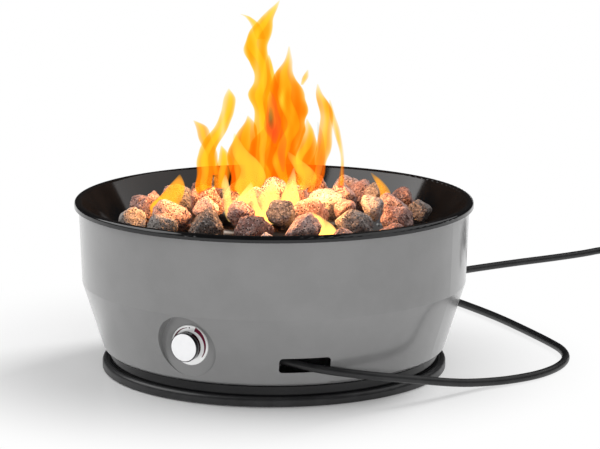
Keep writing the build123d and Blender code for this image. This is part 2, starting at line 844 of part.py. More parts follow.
# Control knob: a turned disc with a hub, and a flatted bore with room for a spring clip
clip_room = clip_thickness + 2 * running_fit
with BuildPart() as control_knob:
    with BuildSketch(front.offset(knob_back)):
        Circle(knob_radius)
    extrude(amount=knob_thickness)
    fillet(control_knob.faces().sort_by(Axis.Y)[0].edges(), knob_edge)
    fillet(control_knob.faces().sort_by(Axis.Y)[-1].edges(), knob_edge / 2)
    with BuildSketch(front.offset(knob_back)):
        Circle(hub_radius)
    extrude(amount=-hub_length)
    with BuildSketch(front.offset(knob_back - hub_length)):
        Circle(stem_radius + running_fit)
        with Locations((0, flat_offset + clip_room)):
            Rectangle(4 * stem_radius, stem_radius, align=(Align.CENTER, Align.MIN), mode=Mode.SUBTRACT)
    extrude(amount=stem_front - knob_back + hub_length + slide_gap, mode=Mode.SUBTRACT)
control_knob.part.label = "control_knob"
export_step(control_knob.part, "parts/control_knob.step")

clip_half_width = math.sqrt(stem_radius**2 - (flat_offset + clip_room) ** 2) - running_fit
with BuildPart() as knob_clip:
    with BuildSketch(front.offset(stem_front)):
        with Locations((0, flat_offset + running_fit)):
            Rectangle(2 * clip_half_width, clip_thickness, align=(Align.CENTER, Align.MIN))
    extrude(amount=-flat_length + slide_gap)
knob_clip.part.label = "knob_clip"
export_step(knob_clip.part, "parts/knob_clip.step")

# Hose fitting and crimp on the valve's inlet boss
with BuildPart() as hose_fitting:
    with BuildSketch(inlet_plane.offset(boss_reach)):
        hexagon(fitting_across)
        Circle(gas_bore, mode=Mode.SUBTRACT)
    extrude(amount=fitting_length)
hose_fitting.part.label = "hose_fitting"
export_step(hose_fitting.part, "parts/hose_fitting.step")

with BuildPart() as hose_crimp:
    with BuildSketch(inlet_plane.offset(boss_reach + fitting_length)):
        Circle(crimp_radius)
        Circle(gas_bore, mode=Mode.SUBTRACT)
    extrude(amount=crimp_length)
hose_crimp.part.label = "hose_crimp"
export_step(hose_crimp.part, "parts/hose_crimp.step")


# Hose coil: spirals in along the floor, climbs as it turns back, and spirals out on top
coil_half = coil_turns / 2
coil_inner = coil_mean_radius - coil_pitch * coil_half / 2
coil_low = tie_thickness + slide_gap + hose_radius
hose_lead = 2 * hose_radius


def coil_curve(turn):
    """A place on the coil, with the climb half way along it at turn 0."""
    angle = math.radians(coil_start_angle - 360 * (turn + coil_half))
    radius = coil_inner + coil_pitch * abs(turn)
    climbed = min(max(2 * turn + 0.5, 0), 1)
    return Vector(
        coil_centre[0] + radius * math.cos(angle),
        coil_centre[1] + radius * math.sin(angle),
        coil_low + coil_pitch * climbed**2 * (3 - 2 * climbed),
    )


coil_steps = round(4 * coil_turns)
coil_stops = [-coil_half + coil_turns * k / coil_steps for k in range(coil_steps + 1)]
hose_coil = winding(coil_curve, coil_stops, hose_radius, hose_lead)
print("coil gap", round(least_gap(coil_curve, -coil_half, coil_half, hose_radius), 2))
hose_coil.part.label = "hose_coil"
export_step(hose_coil.part, "parts/hose_coil.step")


# Free stretches of hose: straight runs joined by arcs as large as the runs allow
def hose_stretch(route):
    """A tube along the route's points. Prints its radii and how its volume fits its length."""
    runs = [route[k + 1] - route[k] for k in range(len(route) - 1)]
    radii = []
    for before, after in zip(runs, runs[1:]):
        half_turn = math.radians(before.get_angle(after)) / 2
        radii.append(hose_bend_share * min(before.length, after.length) / math.tan(half_turn))
    with BuildPart() as tube:
        with BuildLine() as path:
            FilletPolyline(*route, radius=radii)
        with BuildSketch(Plane(origin=route[0], z_dir=runs[0])):
            Circle(hose_radius)
        sweep()
    length = path.wires()[0].length
    print("hose radii", [round(radius) for radius in radii])
    volume_share = tube.part.volume / (math.pi * hose_radius**2 * length)
    print("hose length", round(length), "volume share", round(volume_share, 4))
    return tube, length


hose_start = inlet_middle + inlet_axis * (boss_reach + fitting_length + crimp_length)
coil_entry_way = heading(coil_curve, -coil_half)
coil_entry = coil_curve(-coil_half) - coil_entry_way * hose_lead
floor_level = hose_radius
hose_route = [
    hose_start,
    inlet_middle + inlet_axis * hose_lead_out,
    Vector(205, -150, 42),
    Vector(252, -90, 28),
    Vector(283, -30, 13),
    Vector(306, 16, 6.5),
    Vector(329, 48, floor_level),
    Vector(350, 88, floor_level),
    Vector(358, 135, floor_level),
    Vector(352, 183, floor_level),
    Vector(331, 226, floor_level),
    Vector(296, 262, floor_level),
    Vector(243, 310, floor_level),
    Vector(178, 366, floor_level),
    Vector(112, 414, floor_level),
    Vector(60, 448, floor_level),
    Vector(20, 486, floor_level),
    Vector(-6, 532, floor_level),
    Vector(-12, 585, floor_level),
    Vector(0, 636, floor_level),
    Vector(28, 687, floor_level),
    Vector(62, 745, floor_level),
    Vector(98, 800, floor_level),
    Vector(130, 858, floor_level),
    coil_entry - coil_entry_way * hose_entry_run,
    coil_entry,
]
gas_hose, hose_length = hose_stretch(hose_route)
gas_hose.part.label = "gas_hose"
export_step(gas_hose.part, "parts/gas_hose.step")

# The tail of the hose, from the coil to the regulator
coil_exit_way = heading(coil_curve, coil_half)
coil_exit = coil_curve(coil_half) + coil_exit_way * hose_lead
flat_way = Vector(coil_exit_way.X, coil_exit_way.Y, 0).normalized()
regulator_level = regulator_radius + slide_gap
regulator_start = coil_exit + flat_way * tail_length
regulator_start = Vector(regulator_start.X, regulator_start.Y, regulator_level)
tail_route = [
    coil_exit,
    coil_exit + flat_way * tail_straight,
    regulator_start - flat_way * tail_straight,
    regulator_start,
]
hose_tail, tail_run = hose_stretch(tail_route)
hose_tail.part.label = "hose_tail"
export_step(hose_tail.part, "parts/hose_tail.step")
coil_turn_step = coil_turns / measure_points
coil_places = [coil_curve(-coil_half + coil_turn_step * k) for k in range(measure_points + 1)]
coil_wound = sum((after - before).length for before, after in zip(coil_places, coil_places[1:]))
print("hose in all", round(hose_length + tail_run + coil_wound + 2 * hose_lead))

# Tie: a strap round the turns of the coil
tie_turns = [
    k + (coil_start_angle - tie_angle) / 360 - coil_half
    for k in range(-1, math.ceil(coil_turns) + 1)
    if 0 <= k + (coil_start_angle - tie_angle) / 360 <= coil_turns
]
tie_reaches = [coil_inner + coil_pitch * abs(turn) for turn in tie_turns]
tie_span = max(tie_reaches) - min(tie_reaches) + 2 * (hose_radius + tie_ease)
tie_rise = coil_pitch + 2 * (hose_radius + slide_gap)
tie_way = math.radians(tie_angle)
tie_plane = Plane(
    origin=(coil_centre[0], coil_centre[1], coil_low + coil_pitch / 2),
    x_dir=(math.cos(tie_way), math.sin(tie_way), 0),
    z_dir=(-math.sin(tie_way), math.cos(tie_way), 0),
)
with BuildPart() as coil_tie:
    with BuildSketch(tie_plane.offset(-tie_width / 2)):
        with Locations(((max(tie_reaches) + min(tie_reaches)) / 2, 0)):
            RectangleRounded(tie_span, tie_rise, tie_corner)
            offset(amount=tie_thickness)
            RectangleRounded(tie_span, tie_rise, tie_corner, mode=Mode.SUBTRACT)
    extrude(amount=tie_width)
coil_tie.part.label = "coil_tie"
export_step(coil_tie.part, "parts/coil_tie.step")

# Regulator: its gas way runs on from the hose, and its flange stands on the floor
gas_way = Plane(origin=regulator_start, x_dir=(-flat_way.Y, flat_way.X, 0), z_dir=flat_way)
regulator_middle = regulator_start + flat_way * (crimp_length + regulator_reach)
case_plane = Plane(origin=regulator_middle, x_dir=flat_way, z_dir=gas_way.x_dir)
case_back = -regulator_case / 2 + regulator_flange
case_front = case_back + regulator_depth
with BuildPart() as regulator_crimp:
    with BuildSketch(gas_way):
        Circle(crimp_radius)
        Circle(gas_bore, mode=Mode.SUBTRACT)
    extrude(amount=crimp_length)
regulator_crimp.part.label = "regulator_crimp"
export_step(regulator_crimp.part, "parts/regulator_crimp.step")

with BuildPart() as regulator_body:
    with BuildSketch(case_plane.offset(case_back)):
        Circle(regulator_case)
    extrude(amount=regulator_depth)
    with BuildSketch(case_plane.offset(case_front)):
        Circle(regulator_radius)
    extrude(amount=-regulator_flange)
    with BuildSketch(gas_way.offset(crimp_length)):
        Circle(regulator_port)
    extrude(amount=2 * regulator_reach)
    with BuildSketch(case_plane.offset(case_front)):
        Circle(regulator_room)
    extrude(amount=-regulator_flange, mode=Mode.SUBTRACT)
    with BuildSketch(gas_way.offset(crimp_length)):
        Circle(gas_bore)
    extrude(amount=2 * regulator_reach, mode=Mode.SUBTRACT)
    with BuildSketch(case_plane.offset(case_front)):
        with PolarLocations(cover_screw_spread, cover_screw_count, cover_screw_angle):
            Circle(cover_screw + running_fit)
    extrude(amount=-regulator_flange, mode=Mode.SUBTRACT)
regulator_body.part.label = "regulator_body"
export_step(regulator_body.part, "parts/regulator_body.step")

with BuildPart() as regulator_diaphragm:
    with BuildSketch(case_plane.offset(case_front)):
        Circle(regulator_radius - slide_gap)
        with PolarLocations(cover_screw_spread, cover_screw_count, cover_screw_angle):
            Circle(cover_screw + hole_room, mode=Mode.SUBTRACT)
    extrude(amount=diaphragm_thickness)
regulator_diaphragm.part.label = "regulator_diaphragm"
export_step(regulator_diaphragm.part, "parts/regulator_diaphragm.step")

cover_seat = case_front + diaphragm_thickness
with BuildPart() as regulator_cover:
    with BuildSketch(case_plane.offset(cover_seat)):
        Circle(regulator_radius)
    extrude(amount=cover_flange)
    with BuildSketch(case_plane.offset(cover_seat)):
        Circle(cover_radius)
    extrude(amount=cover_flange + cover_height)
    cover_ends = regulator_cover.faces().sort_by(Axis(regulator_middle, case_plane.z_dir))
    fillet(cover_ends[-1].edges(), cover_wall)
    with BuildSketch(case_plane.offset(cover_seat)):
        Circle(regulator_room)
    extrude(amount=cover_flange + cover_height - cover_wall, mode=Mode.SUBTRACT)
    with BuildSketch(case_plane.offset(cover_seat)):
        with PolarLocations(cover_screw_spread, cover_screw_count, cover_screw_angle):
            Circle(cover_screw + hole_room)
    extrude(amount=cover_flange, mode=Mode.SUBTRACT)
regulator_cover.part.label = "regulator_cover"
export_step(regulator_cover.part, "parts/regulator_cover.step")

with BuildPart() as regulator_screws:
    with BuildSketch(case_plane.offset(cover_seat + cover_flange)):
        with PolarLocations(cover_screw_spread, cover_screw_count, cover_screw_angle):
            Circle(cover_screw_head)
    extrude(amount=cover_screw)
    with BuildSketch(case_plane.offset(cover_seat + cover_flange)):
        with PolarLocations(cover_screw_spread, cover_screw_count, cover_screw_angle):
            Circle(cover_screw)
    extrude(amount=-cover_flange - diaphragm_thickness - regulator_flange)
regulator_screws.part.label = "regulator_screws"
export_step(regulator_screws.part, "parts/regulator_screws.step")

cover_wire = regulator_spring_wire / 2
cover_spring_low = cover_seat + slide_gap + cover_wire
cover_ceiling = cover_seat + cover_flange + cover_height - cover_wall
cover_spring_high = cover_ceiling - slide_gap - cover_wire


def cover_spring_curve(turn):
    """A place on the regulator's spring."""
    angle = math.radians(360 * turn)
    height = cover_spring_low + (cover_spring_high - cover_spring_low) * turn / regulator_spring_turns
    return case_plane.from_local_coords(
        Vector(regulator_spring_radius * math.cos(angle), regulator_spring_radius * math.sin(angle), height)
    )


cover_stops = [k / 4 for k in range(4 * regulator_spring_turns + 1)]
regulator_spring = winding(cover_spring_curve, cover_stops, cover_wire, regulator_spring_wire)
cover_spring_gap = least_gap(cover_spring_curve, 0, regulator_spring_turns, cover_wire)
print("regulator spring gap", round(cover_spring_gap, 2))
regulator_spring.part.label = "regulator_spring"
export_step(regulator_spring.part, "parts/regulator_spring.step")

# Tank nipple with its collar, seal and nose, and the hand nut that turns on it
nipple_start = crimp_length + 2 * regulator_reach
collar_start = nipple_start + nut_wall_end + 2 * slide_gap
nose_start = collar_start + nipple_collar_length + seal_length
with BuildPart() as tank_nipple:
    with BuildSketch(gas_way.offset(nipple_start)):
        Circle(nipple_radius)
    extrude(amount=nose_start - nipple_start)
    with BuildSketch(gas_way.offset(nose_start)):
        Circle(nose_radius)
    extrude(amount=nose_length)
    chamfer(tank_nipple.faces().sort_by(Axis(regulator_start, flat_way))[-1].edges(), nose_chamfer)
    with BuildSketch(gas_way.offset(collar_start)):
        Circle(nipple_collar)
    extrude(amount=nipple_collar_length)
    with BuildSketch(gas_way.offset(nipple_start)):
        Circle(nipple_bore)
    extrude(amount=nose_start - nipple_start + nose_length, mode=Mode.SUBTRACT)
tank_nipple.part.label = "tank_nipple"
export_step(tank_nipple.part, "parts/tank_nipple.step")

with BuildPart() as nipple_seal:
    with BuildSketch(gas_way.offset(collar_start + nipple_collar_length)):
        Circle(seal_radius)
        Circle(nipple_radius + running_fit, mode=Mode.SUBTRACT)
    extrude(amount=seal_length)
nipple_seal.part.label = "nipple_seal"
export_step(nipple_seal.part, "parts/nipple_seal.step")

nut_start = nipple_start + slide_gap
with BuildPart() as tank_nut:
    with BuildSketch(gas_way.offset(nut_start)):
        Circle(nut_radius)
        with PolarLocations(nut_radius, nut_grips):
            Circle(nut_grip_radius, mode=Mode.SUBTRACT)
    extrude(amount=nut_length)
    with BuildSketch(gas_way.offset(nut_start)):
        Circle(nipple_radius + running_fit)
    extrude(amount=nut_wall_end, mode=Mode.SUBTRACT)
    with BuildSketch(gas_way.offset(nut_start + nut_wall_end)):
        Circle(nut_bore)
    extrude(amount=nut_length, mode=Mode.SUBTRACT)
tank_nut.part.label = "tank_nut"
export_step(tank_nut.part, "parts/tank_nut.step")


# Lava rock: each lump is the largest of many that stay under the heap's top, with a corner where it touches
def rest_place(x, y, radius, placed):
    """Where a lump let down at x, y comes to rest, and the middle of what it rests on."""
    gap = radius + slide_gap
    level = bowl_floor + gap
    support = (x, y, bowl_floor)
    ring_share = burner_radius / math.hypot(x, y)
    bar_x = min(max(x, -burner_radius), burner_radius)
    stops = [
        (x * ring_share, y * ring_share, burner_height, burner_tube),
        (bar_x, 0, burner_height, burner_tube),
    ]
    for k in range(shield_fixing_count):
        angle = math.radians(shield_fixing_angle + 360 * k / shield_fixing_count)
        head_x = shield_fixing_radius * math.cos(angle)
        head_y = shield_fixing_radius * math.sin(angle)
        stops.append((head_x, head_y, shield_dome_middle, shield_dome))
    for stop_x, stop_y, stop_z, stop_radius in stops + placed:
        room = (gap + stop_radius) ** 2 - (x - stop_x) ** 2 - (y - stop_y) ** 2
        if room > 0 and stop_z + math.sqrt(room) > level:
            level = stop_z + math.sqrt(room)
            support = (stop_x, stop_y, stop_z)
    return level, support


def lava_rock(middle, radius, touching_ways, chance):
    """A lump with corners spread round it at uneven depths, and one at each touching place."""
    corners = [middle + way * radius for way in touching_ways]
    golden_angle = math.pi * (3 - math.sqrt(5))
    for k in range(rock_corners):
        height = 1 - 2 * (k + 0.5) / rock_corners
        aside = math.sqrt(1 - height**2)
        way = Vector(aside * math.cos(k * golden_angle), aside * math.sin(k * golden_angle), height)
        shift = Vector(*[chance.gauss(0, rock_jitter) for _ in range(3)])
        corners.append(middle + (way + shift).normalized() * radius * chance.uniform(rock_dent, 1))
    with BuildPart() as lump:
        ConvexPolyhedron(corners)
    return lump.part


chance = random.Random(rock_seed)
rocks = []
supports = []
for _ in range(rock_count):
    best = None
    for _ in range(rock_tries):
        radius = chance.uniform(rock_smallest, rock_largest)
        angle = chance.uniform(0, 2 * math.pi)
        reach = (rock_clear_radius - radius) * math.sqrt(chance.random())
        x = reach * math.cos(angle)
        y = reach * math.sin(angle)
        level, support = rest_place(x, y, radius, rocks)
        fits = level + radius < rock_top - rock_fall * reach
        if fits and (best is None or radius > best[0]):
            best = (radius, (x, y, level, radius), support)
    if best is not None:
        rocks.append(best[1])
        supports.append(best[2])
print(len(rocks), "lumps of rock, heap top", round(max(level + radius for _, _, level, radius in rocks)))

rock_groups = {"red_lava_rocks": [], "grey_lava_rocks": []}
for index, (x, y, level, radius) in enumerate(rocks):
    middle = Vector(x, y, level)
    touching_ways = [(Vector(*supports[index]) - middle).normalized()]
    for other_x, other_y, other_level, other_radius in rocks[index + 1 :]:
        towards = Vector(other_x, other_y, other_level) - middle
        if towards.length < radius + other_radius + 2 * slide_gap:
            touching_ways.append(towards.normalized())
    group = "grey_lava_rocks" if index % grey_every == 0 else "red_lava_rocks"
    rock_groups[group].append(lava_rock(middle, radius, touching_ways, chance))
for group, lumps in rock_groups.items():
    heap = Compound(label=group, children=lumps)
    export_step(heap, f"parts/{group}.step")
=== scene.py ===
# %% [markdown]
# # A propane fire pit
#
# The real object is a round steel shell on a low base. A bowl of lava rock sits in its top over a ring
# burner, a knob in a round dish works the gas valve, and a rubber hose leaves through a slot at the side.
# The hard pieces come ready made from the CAD model, which is loaded as a fixed frame. This lesson gives
# them their finishes, builds the rock and the hose, and lights the whole as a plain studio would.

# %% The frame
import math
import random

import bmesh
import bpy
import numpy as np
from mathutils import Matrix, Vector, noise


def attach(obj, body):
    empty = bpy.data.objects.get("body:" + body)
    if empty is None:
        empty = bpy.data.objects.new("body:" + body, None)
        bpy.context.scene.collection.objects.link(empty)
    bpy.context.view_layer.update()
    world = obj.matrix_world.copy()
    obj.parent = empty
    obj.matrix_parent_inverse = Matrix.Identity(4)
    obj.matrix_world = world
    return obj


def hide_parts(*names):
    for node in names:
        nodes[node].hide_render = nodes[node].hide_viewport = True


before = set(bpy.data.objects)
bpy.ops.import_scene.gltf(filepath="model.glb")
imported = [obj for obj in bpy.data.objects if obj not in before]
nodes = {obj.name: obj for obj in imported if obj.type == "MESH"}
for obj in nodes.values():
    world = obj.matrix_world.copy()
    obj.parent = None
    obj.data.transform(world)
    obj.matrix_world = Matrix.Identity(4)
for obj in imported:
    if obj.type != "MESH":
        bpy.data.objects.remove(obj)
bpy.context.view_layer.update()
mm = 0.001


def new_object(name, data):
    """An object that shows the data, linked into the scene."""
    made = bpy.data.objects.new(name, data)
    bpy.context.scene.collection.objects.link(made)
    return made


# %% [markdown]
# ## The camera
#
# The photograph was taken through a long lens, from a little above the rim and to the right of the knob.
# A long lens keeps the two ends of the bowl's rim nearly the same height, as they are in the picture. The
# camera could be set by eye. It was fitted to the ellipses of the rim and the base instead, which is
# closer. It is set first, because the hose has to be judged against what it sees.

# %% Camera
camera_lens = 151.9
camera_sensor = 36.0
camera_shift = 0.0433
camera_far = 100.0
camera_distance = 3.3285
camera_height = 0.8486
camera_turn = math.radians(27.3)
camera_tilt = math.radians(78.83)
camera_right = Vector((math.cos(camera_turn), math.sin(camera_turn), 0))
camera_away = Vector((-math.sin(camera_turn), math.cos(camera_turn), 0))
camera_data = bpy.data.cameras.new("view")
camera_data.lens = camera_lens
camera_data.sensor_width = camera_sensor
camera_data.shift_x = camera_shift
camera_data.clip_end = camera_far
camera = new_object("view", camera_data)
camera.location = (
    camera_distance * math.sin(camera_turn),
    -camera_distance * math.cos(camera_turn),
    camera_height,
)
camera.rotation_euler = (camera_tilt, 0, camera_turn)
bpy.context.scene.camera = camera


def as_seen(right, away, up):
    """A place from the middle of the pit: to the camera's right, away from the camera, and up."""
    return camera_right * right + camera_away * away + Vector((0, 0, up))


print("camera at", [round(value, 3) for value in camera.location])

# %% [markdown]
# ## Writing a finish as a formula
#
# Blender's materials are node trees, which take many lines to wire up by hand. A small class makes this
# short: it wraps one socket, and adding or multiplying two of them adds the Math node that does it. Every
# other kind of node comes from its one method, which takes the node's settings and then its sockets.


# %% Wire
class Wire:
    """A socket of a node tree. Arithmetic on it adds Math nodes."""

    def __init__(self, tree, socket=None):
        self.tree = tree
        self.socket = socket

    def node(self, kind, settings=None, sockets=None, output=0):
        """Adds a node with its settings, then the values or links of its sockets, and gives one output."""
        made = self.tree.nodes.new(kind)
        for name, value in (settings or {}).items():
            setattr(made, name, value)
        for name, value in (sockets or {}).items():
            if isinstance(value, Wire):
                self.tree.links.new(value.socket, made.inputs[name])
            else:
                made.inputs[name].default_value = value
        return Wire(self.tree, made.outputs[output])

    def maths(self, operation, first, second=0.0):
        """A Math node on two numbers or wires."""
        return self.node("ShaderNodeMath", {"operation": operation}, {0: first, 1: second})

    def __add__(self, other):
        return self.maths("ADD", self, other)

    def __radd__(self, other):
        return self.maths("ADD", other, self)

    def __sub__(self, other):
        return self.maths("SUBTRACT", self, other)

    def __rsub__(self, other):
        return self.maths("SUBTRACT", other, self)

    def __mul__(self, other):
        return self.maths("MULTIPLY", self, other)

    def __rmul__(self, other):
        return self.maths("MULTIPLY", other, self)

    def __pow__(self, other):
        return self.maths("POWER", self, other)


print("a wire stands for one socket")


# %% Colours and finishes
def srgb(red, green, blue):
    """A colour as an eye dropper reads it, from 0 to 255, made linear."""
    linear = []
    for value in (red, green, blue):
        share = value / 255
        linear.append(share / 12.92 if share <= 0.04045 else ((share + 0.055) / 1.055) ** 2.4)
    return (*linear, 1.0)


def new_finish(name, **fixed):
    """A material, the wire to build on, and its shader. What is the same all over is set on the shader."""
    material = bpy.data.materials.new(name)
    material.use_nodes = True
    shader = material.node_tree.nodes["Principled BSDF"]
    for socket, value in fixed.items():
        shader.inputs[socket.replace("_", " ")].default_value = value
    return material, Wire(material.node_tree), shader


def feed(shader, socket, wire):
    """Links a wire into one of the shader's sockets."""
    wire.tree.links.new(wire.socket, shader.inputs[socket])


def paint(material, *names):
    """Puts a finish on CAD nodes."""
    for name in names:
        node = nodes[name]
        if not node.material_slots:
            node.data.materials.append(material)
        for slot in node.material_slots:
            slot.material = material
    print(material.name, "on", ", ".join(names))


print("middle grey, made linear:", round(srgb(128, 128, 128)[0], 3))


# %% Patterns
def place_of(wire):
    """The place on the piece, in metres."""
    return wire.node("ShaderNodeTexCoord", output="Object")


def cloud(wire, place, size, detail=4.0, rough=0.55):
    """Soft noise with lumps of about that size in metres, from 0 to 1."""
    sockets = {"Vector": place, "Scale": 1 / size, "Detail": detail, "Roughness": rough}
    return wire.node("ShaderNodeTexNoise", {}, sockets)


def blend(wire, share, first, second):
    """A colour between two others."""
    return wire.node("ShaderNodeMix", {"data_type": "RGBA"}, {0: share, 6: first, 7: second}, output=2)


def between(wire, value, low, high):
    """0 below low and 1 above high, with a smooth rise."""
    sockets = {"Value": value, "From Min": low, "From Max": high}
    return wire.node("ShaderNodeMapRange", {"interpolation_type": "SMOOTHSTEP"}, sockets)


def relief(wire, height, depth):
    """A bump of that depth in metres."""
    return wire.node("ShaderNodeBump", {}, {"Height": height, "Distance": depth, "Strength": 1.0})


def grained(name, dark, light, drift, roughness, depth=0.0, grain=0.4 * mm, **fixed):
    """A finish that drifts between two colours and two roughnesses, with a fine grain in its surface."""
    material, wire, shader = new_finish(name, **fixed)
    place = place_of(wire)
    share = between(wire, cloud(wire, place, drift), 0.3, 0.7)
    fine = cloud(wire, place, grain, detail=2.0)
    smooth, rough = roughness
    feed(shader, "Base Color", blend(wire, share, dark, light))
    feed(shader, "Roughness", smooth + (rough - smooth) * fine)
    if depth:
        feed(shader, "Normal", relief(wire, fine, depth))
    return material


print("patterns are measured in metres")

# %% [markdown]
# ## The hose
#
# A gas hose is a thick rubber tube that keeps a wide bend. It leaves the valve, comes out of the slot,
# drops to the floor and runs round behind the bowl. The length that the picture doesn't show is wound in
# a coil. A row of short tubes would show its joints. A NURBS curve with the route as its control points
# gives one smooth line instead, which a bevel makes into a tube.

# %% Route of the hose
hose_radius = 5.5 * mm
valve_height = 76.4
inlet_tilt = math.radians(9.0)
inlet_axis = Vector((math.cos(inlet_tilt), 0, -math.sin(inlet_tilt)))
inlet_middle = Vector((0, -192, valve_height)) * mm
fitting_reach = 60
slot_reach = 139
drop_route = [
    (205, -150, 42),
    (252, -90, 28),
    (283, -30, 13),
    (306, 16, 6.5),
]
floor_route = [
    (329, 48),
    (350, 88),
    (358, 135),
    (352, 183),
    (331, 226),
    (296, 262),
    (243, 310),
    (178, 366),
    (112, 414),
    (60, 448),
    (20, 486),
    (-6, 532),
    (-12, 585),
    (0, 636),
    (28, 687),
    (62, 745),
    (98, 800),
    (130, 858),
]
hose_route = [inlet_middle + inlet_axis * reach * mm for reach in (fitting_reach, slot_reach)]
hose_route += [Vector(place) * mm for place in drop_route]
hose_route += [Vector((x * mm, y * mm, hose_radius)) for x, y in floor_route]
print("hose route:", len(hose_route), "points before the coil")

# %% Coil of the hose
coil_middle = Vector((238, 889)) * mm
coil_start = 150
coil_turns = 1230 / 360
coil_half = coil_turns / 2
coil_pitch = 11.6 * mm
coil_radius = 66 * mm
coil_inner = coil_radius - coil_pitch * coil_half / 2
coil_low = 7.0 * mm
coil_points_per_turn = 18
coil_approach = 50
small_turn = 0.001
hose_lead = 2 * hose_radius
spline_share = math.cos(math.pi / coil_points_per_turn)


def coil_place(turn):
    """A place on the coil: in along the floor, up a layer at turn 0, and out on top."""
    angle = math.radians(coil_start - 360 * (turn + coil_half))
    radius = coil_inner + coil_pitch * abs(turn)
    climbed = min(max(2 * turn + 0.5, 0), 1)
    height = coil_low + coil_pitch * climbed**2 * (3 - 2 * climbed)
    x = coil_middle.x + radius * math.cos(angle)
    y = coil_middle.y + radius * math.sin(angle)
    return Vector((x, y, height))


def coil_way(turn):
    """The direction of the coil at a turn."""
    return (coil_place(turn + small_turn) - coil_place(turn - small_turn)).normalized()


coil_entry = coil_place(-coil_half) - coil_way(-coil_half) * hose_lead
hose_route.append(coil_entry - coil_way(-coil_half) * coil_approach * mm)
hose_route.append(coil_entry)
coil_count = round(coil_turns * coil_points_per_turn)
for k in range(1, coil_count):
    place = coil_place(-coil_half + coil_turns * k / coil_count)
    outward = Vector((place.x - coil_middle.x, place.y - coil_middle.y, 0))
    hose_route.append(place + outward * (1 / spline_share - 1))
print("hose route:", len(hose_route), "points with the coil")

# %% End of the hose
tail_reach = 106
tail_straight = 32
regulator_height = 31.3 * mm
coil_exit = coil_place(coil_half) + coil_way(coil_half) * hose_lead
tail_way = Vector((coil_way(coil_half).x, coil_way(coil_half).y, 0)).normalized()
regulator_start = coil_exit + tail_way * tail_reach * mm
regulator_start.z = regulator_height
hose_route += [
    coil_exit,
    coil_exit + tail_way * tail_straight * mm,
    regulator_start - tail_way * tail_straight * mm,
    regulator_start,
]
print("hose route:", len(hose_route), "points in all")

# %% Hose
hose_curve = bpy.data.curves.new("rubber_hose", "CURVE")
hose_curve.dimensions = "3D"
hose_spline = hose_curve.splines.new("NURBS")
hose_spline.points.add(len(hose_route) - 1)
for point, place in zip(hose_spline.points, hose_route):
    point.co = (*place, 1.0)
hose_spline.order_u = 3
hose_spline.use_endpoint_u = True
hose_curve.resolution_u = 8
hose_curve.bevel_depth = hose_radius
hose_curve.bevel_resolution = 7
hose_curve.use_fill_caps = True
hose = new_object("rubber_hose", hose_curve)
hose_finish = grained(
    "hose_rubber", srgb(24, 24, 25), srgb(34, 34, 35),
    drift=20 * mm, roughness=(0.34, 0.46), depth=0.03 * mm, grain=0.6 * mm, Specular_IOR_Level=0.45,
)
hose_curve.materials.append(hose_finish)
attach(hose, "pit")
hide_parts("gas_hose", "hose_coil", "hose_tail")
print("hose follows", len(hose_spline.points), "points")

# %% [markdown]
# ## The strap round the coil
#
# The wound length is held by a strap of hook-and-loop tape. On the real one a flat woven tape goes once
# round the turns and its end lies over itself. So short a tape has no folds that a cloth simulation would
# add: a strip of faces bent round a rounded box, given a thickness, is enough.

# %% Outline of the strap
strap_size = (25.6 * mm, 24.4 * mm)
strap_corner = 4.6 * mm
corner_steps = 6
flap_start = 0.1
flap_places = [(0.0, 0.4), (0.3, 1.25), (0.62, 1.3), (0.78, 1.5)]


def strap_loop(size, corner):
    """Points of a rounded box, from the middle of its top and round, as (out, up)."""
    half_out = size[0] / 2 - corner
    half_up = size[1] / 2 - corner
    loop = [(0, size[1] / 2)]
    for start, out, up in [(90, 1, 1), (0, 1, -1), (-90, -1, -1), (-180, -1, 1)]:
        for k in range(corner_steps + 1):
            angle = math.radians(start - 90 * k / corner_steps)
            place_out = out * half_out + corner * math.cos(angle)
            place_up = up * half_up + corner * math.sin(angle)
            loop.append((place_out, place_up))
    return loop


strap_points = strap_loop(strap_size, strap_corner)
# The end of the tape lies over its start, which raises it by a little more than its thickness.
for share, lift in flap_places:
    strap_points.append(((share - flap_start) * strap_size[0] / 2, strap_size[1] / 2 + lift * mm))
print("strap of", len(strap_points), "rows")

# %% Strap
strap_turn = math.radians(-115.0)
strap_reach = 62.2 * mm
strap_height = 12.8 * mm
strap_width = 16 * mm
strap_sheet = 1.2 * mm
strap_columns = (-0.5, -0.46, 0.46, 0.5)
strap_middle = Vector((coil_middle.x, coil_middle.y, strap_height))
strap_out = Vector((math.cos(strap_turn), math.sin(strap_turn), 0))
strap_along = Vector((-strap_out.y, strap_out.x, 0))
strap_mesh = bmesh.new()
strap_rows = []
for out, up in strap_points:
    row = []
    for side in strap_columns:
        place = strap_middle + strap_out * (strap_reach + out) + strap_along * (side * strap_width)
        row.append(strap_mesh.verts.new(place + Vector((0, 0, up))))
    strap_rows.append(row)
for before, after in zip(strap_rows, strap_rows[1:]):
    for k in range(len(before) - 1):
        strap_mesh.faces.new((before[k], before[k + 1], after[k + 1], after[k]))
strap_data = bpy.data.meshes.new("coil_strap")
strap_mesh.to_mesh(strap_data)
strap_mesh.free()
for polygon in strap_data.polygons:
    polygon.use_smooth = True
strap = new_object("coil_strap", strap_data)
thick = strap.modifiers.new("thickness", "SOLIDIFY")
thick.thickness = strap_sheet
thick.offset = 0
print("strap of", len(strap_data.polygons), "faces")

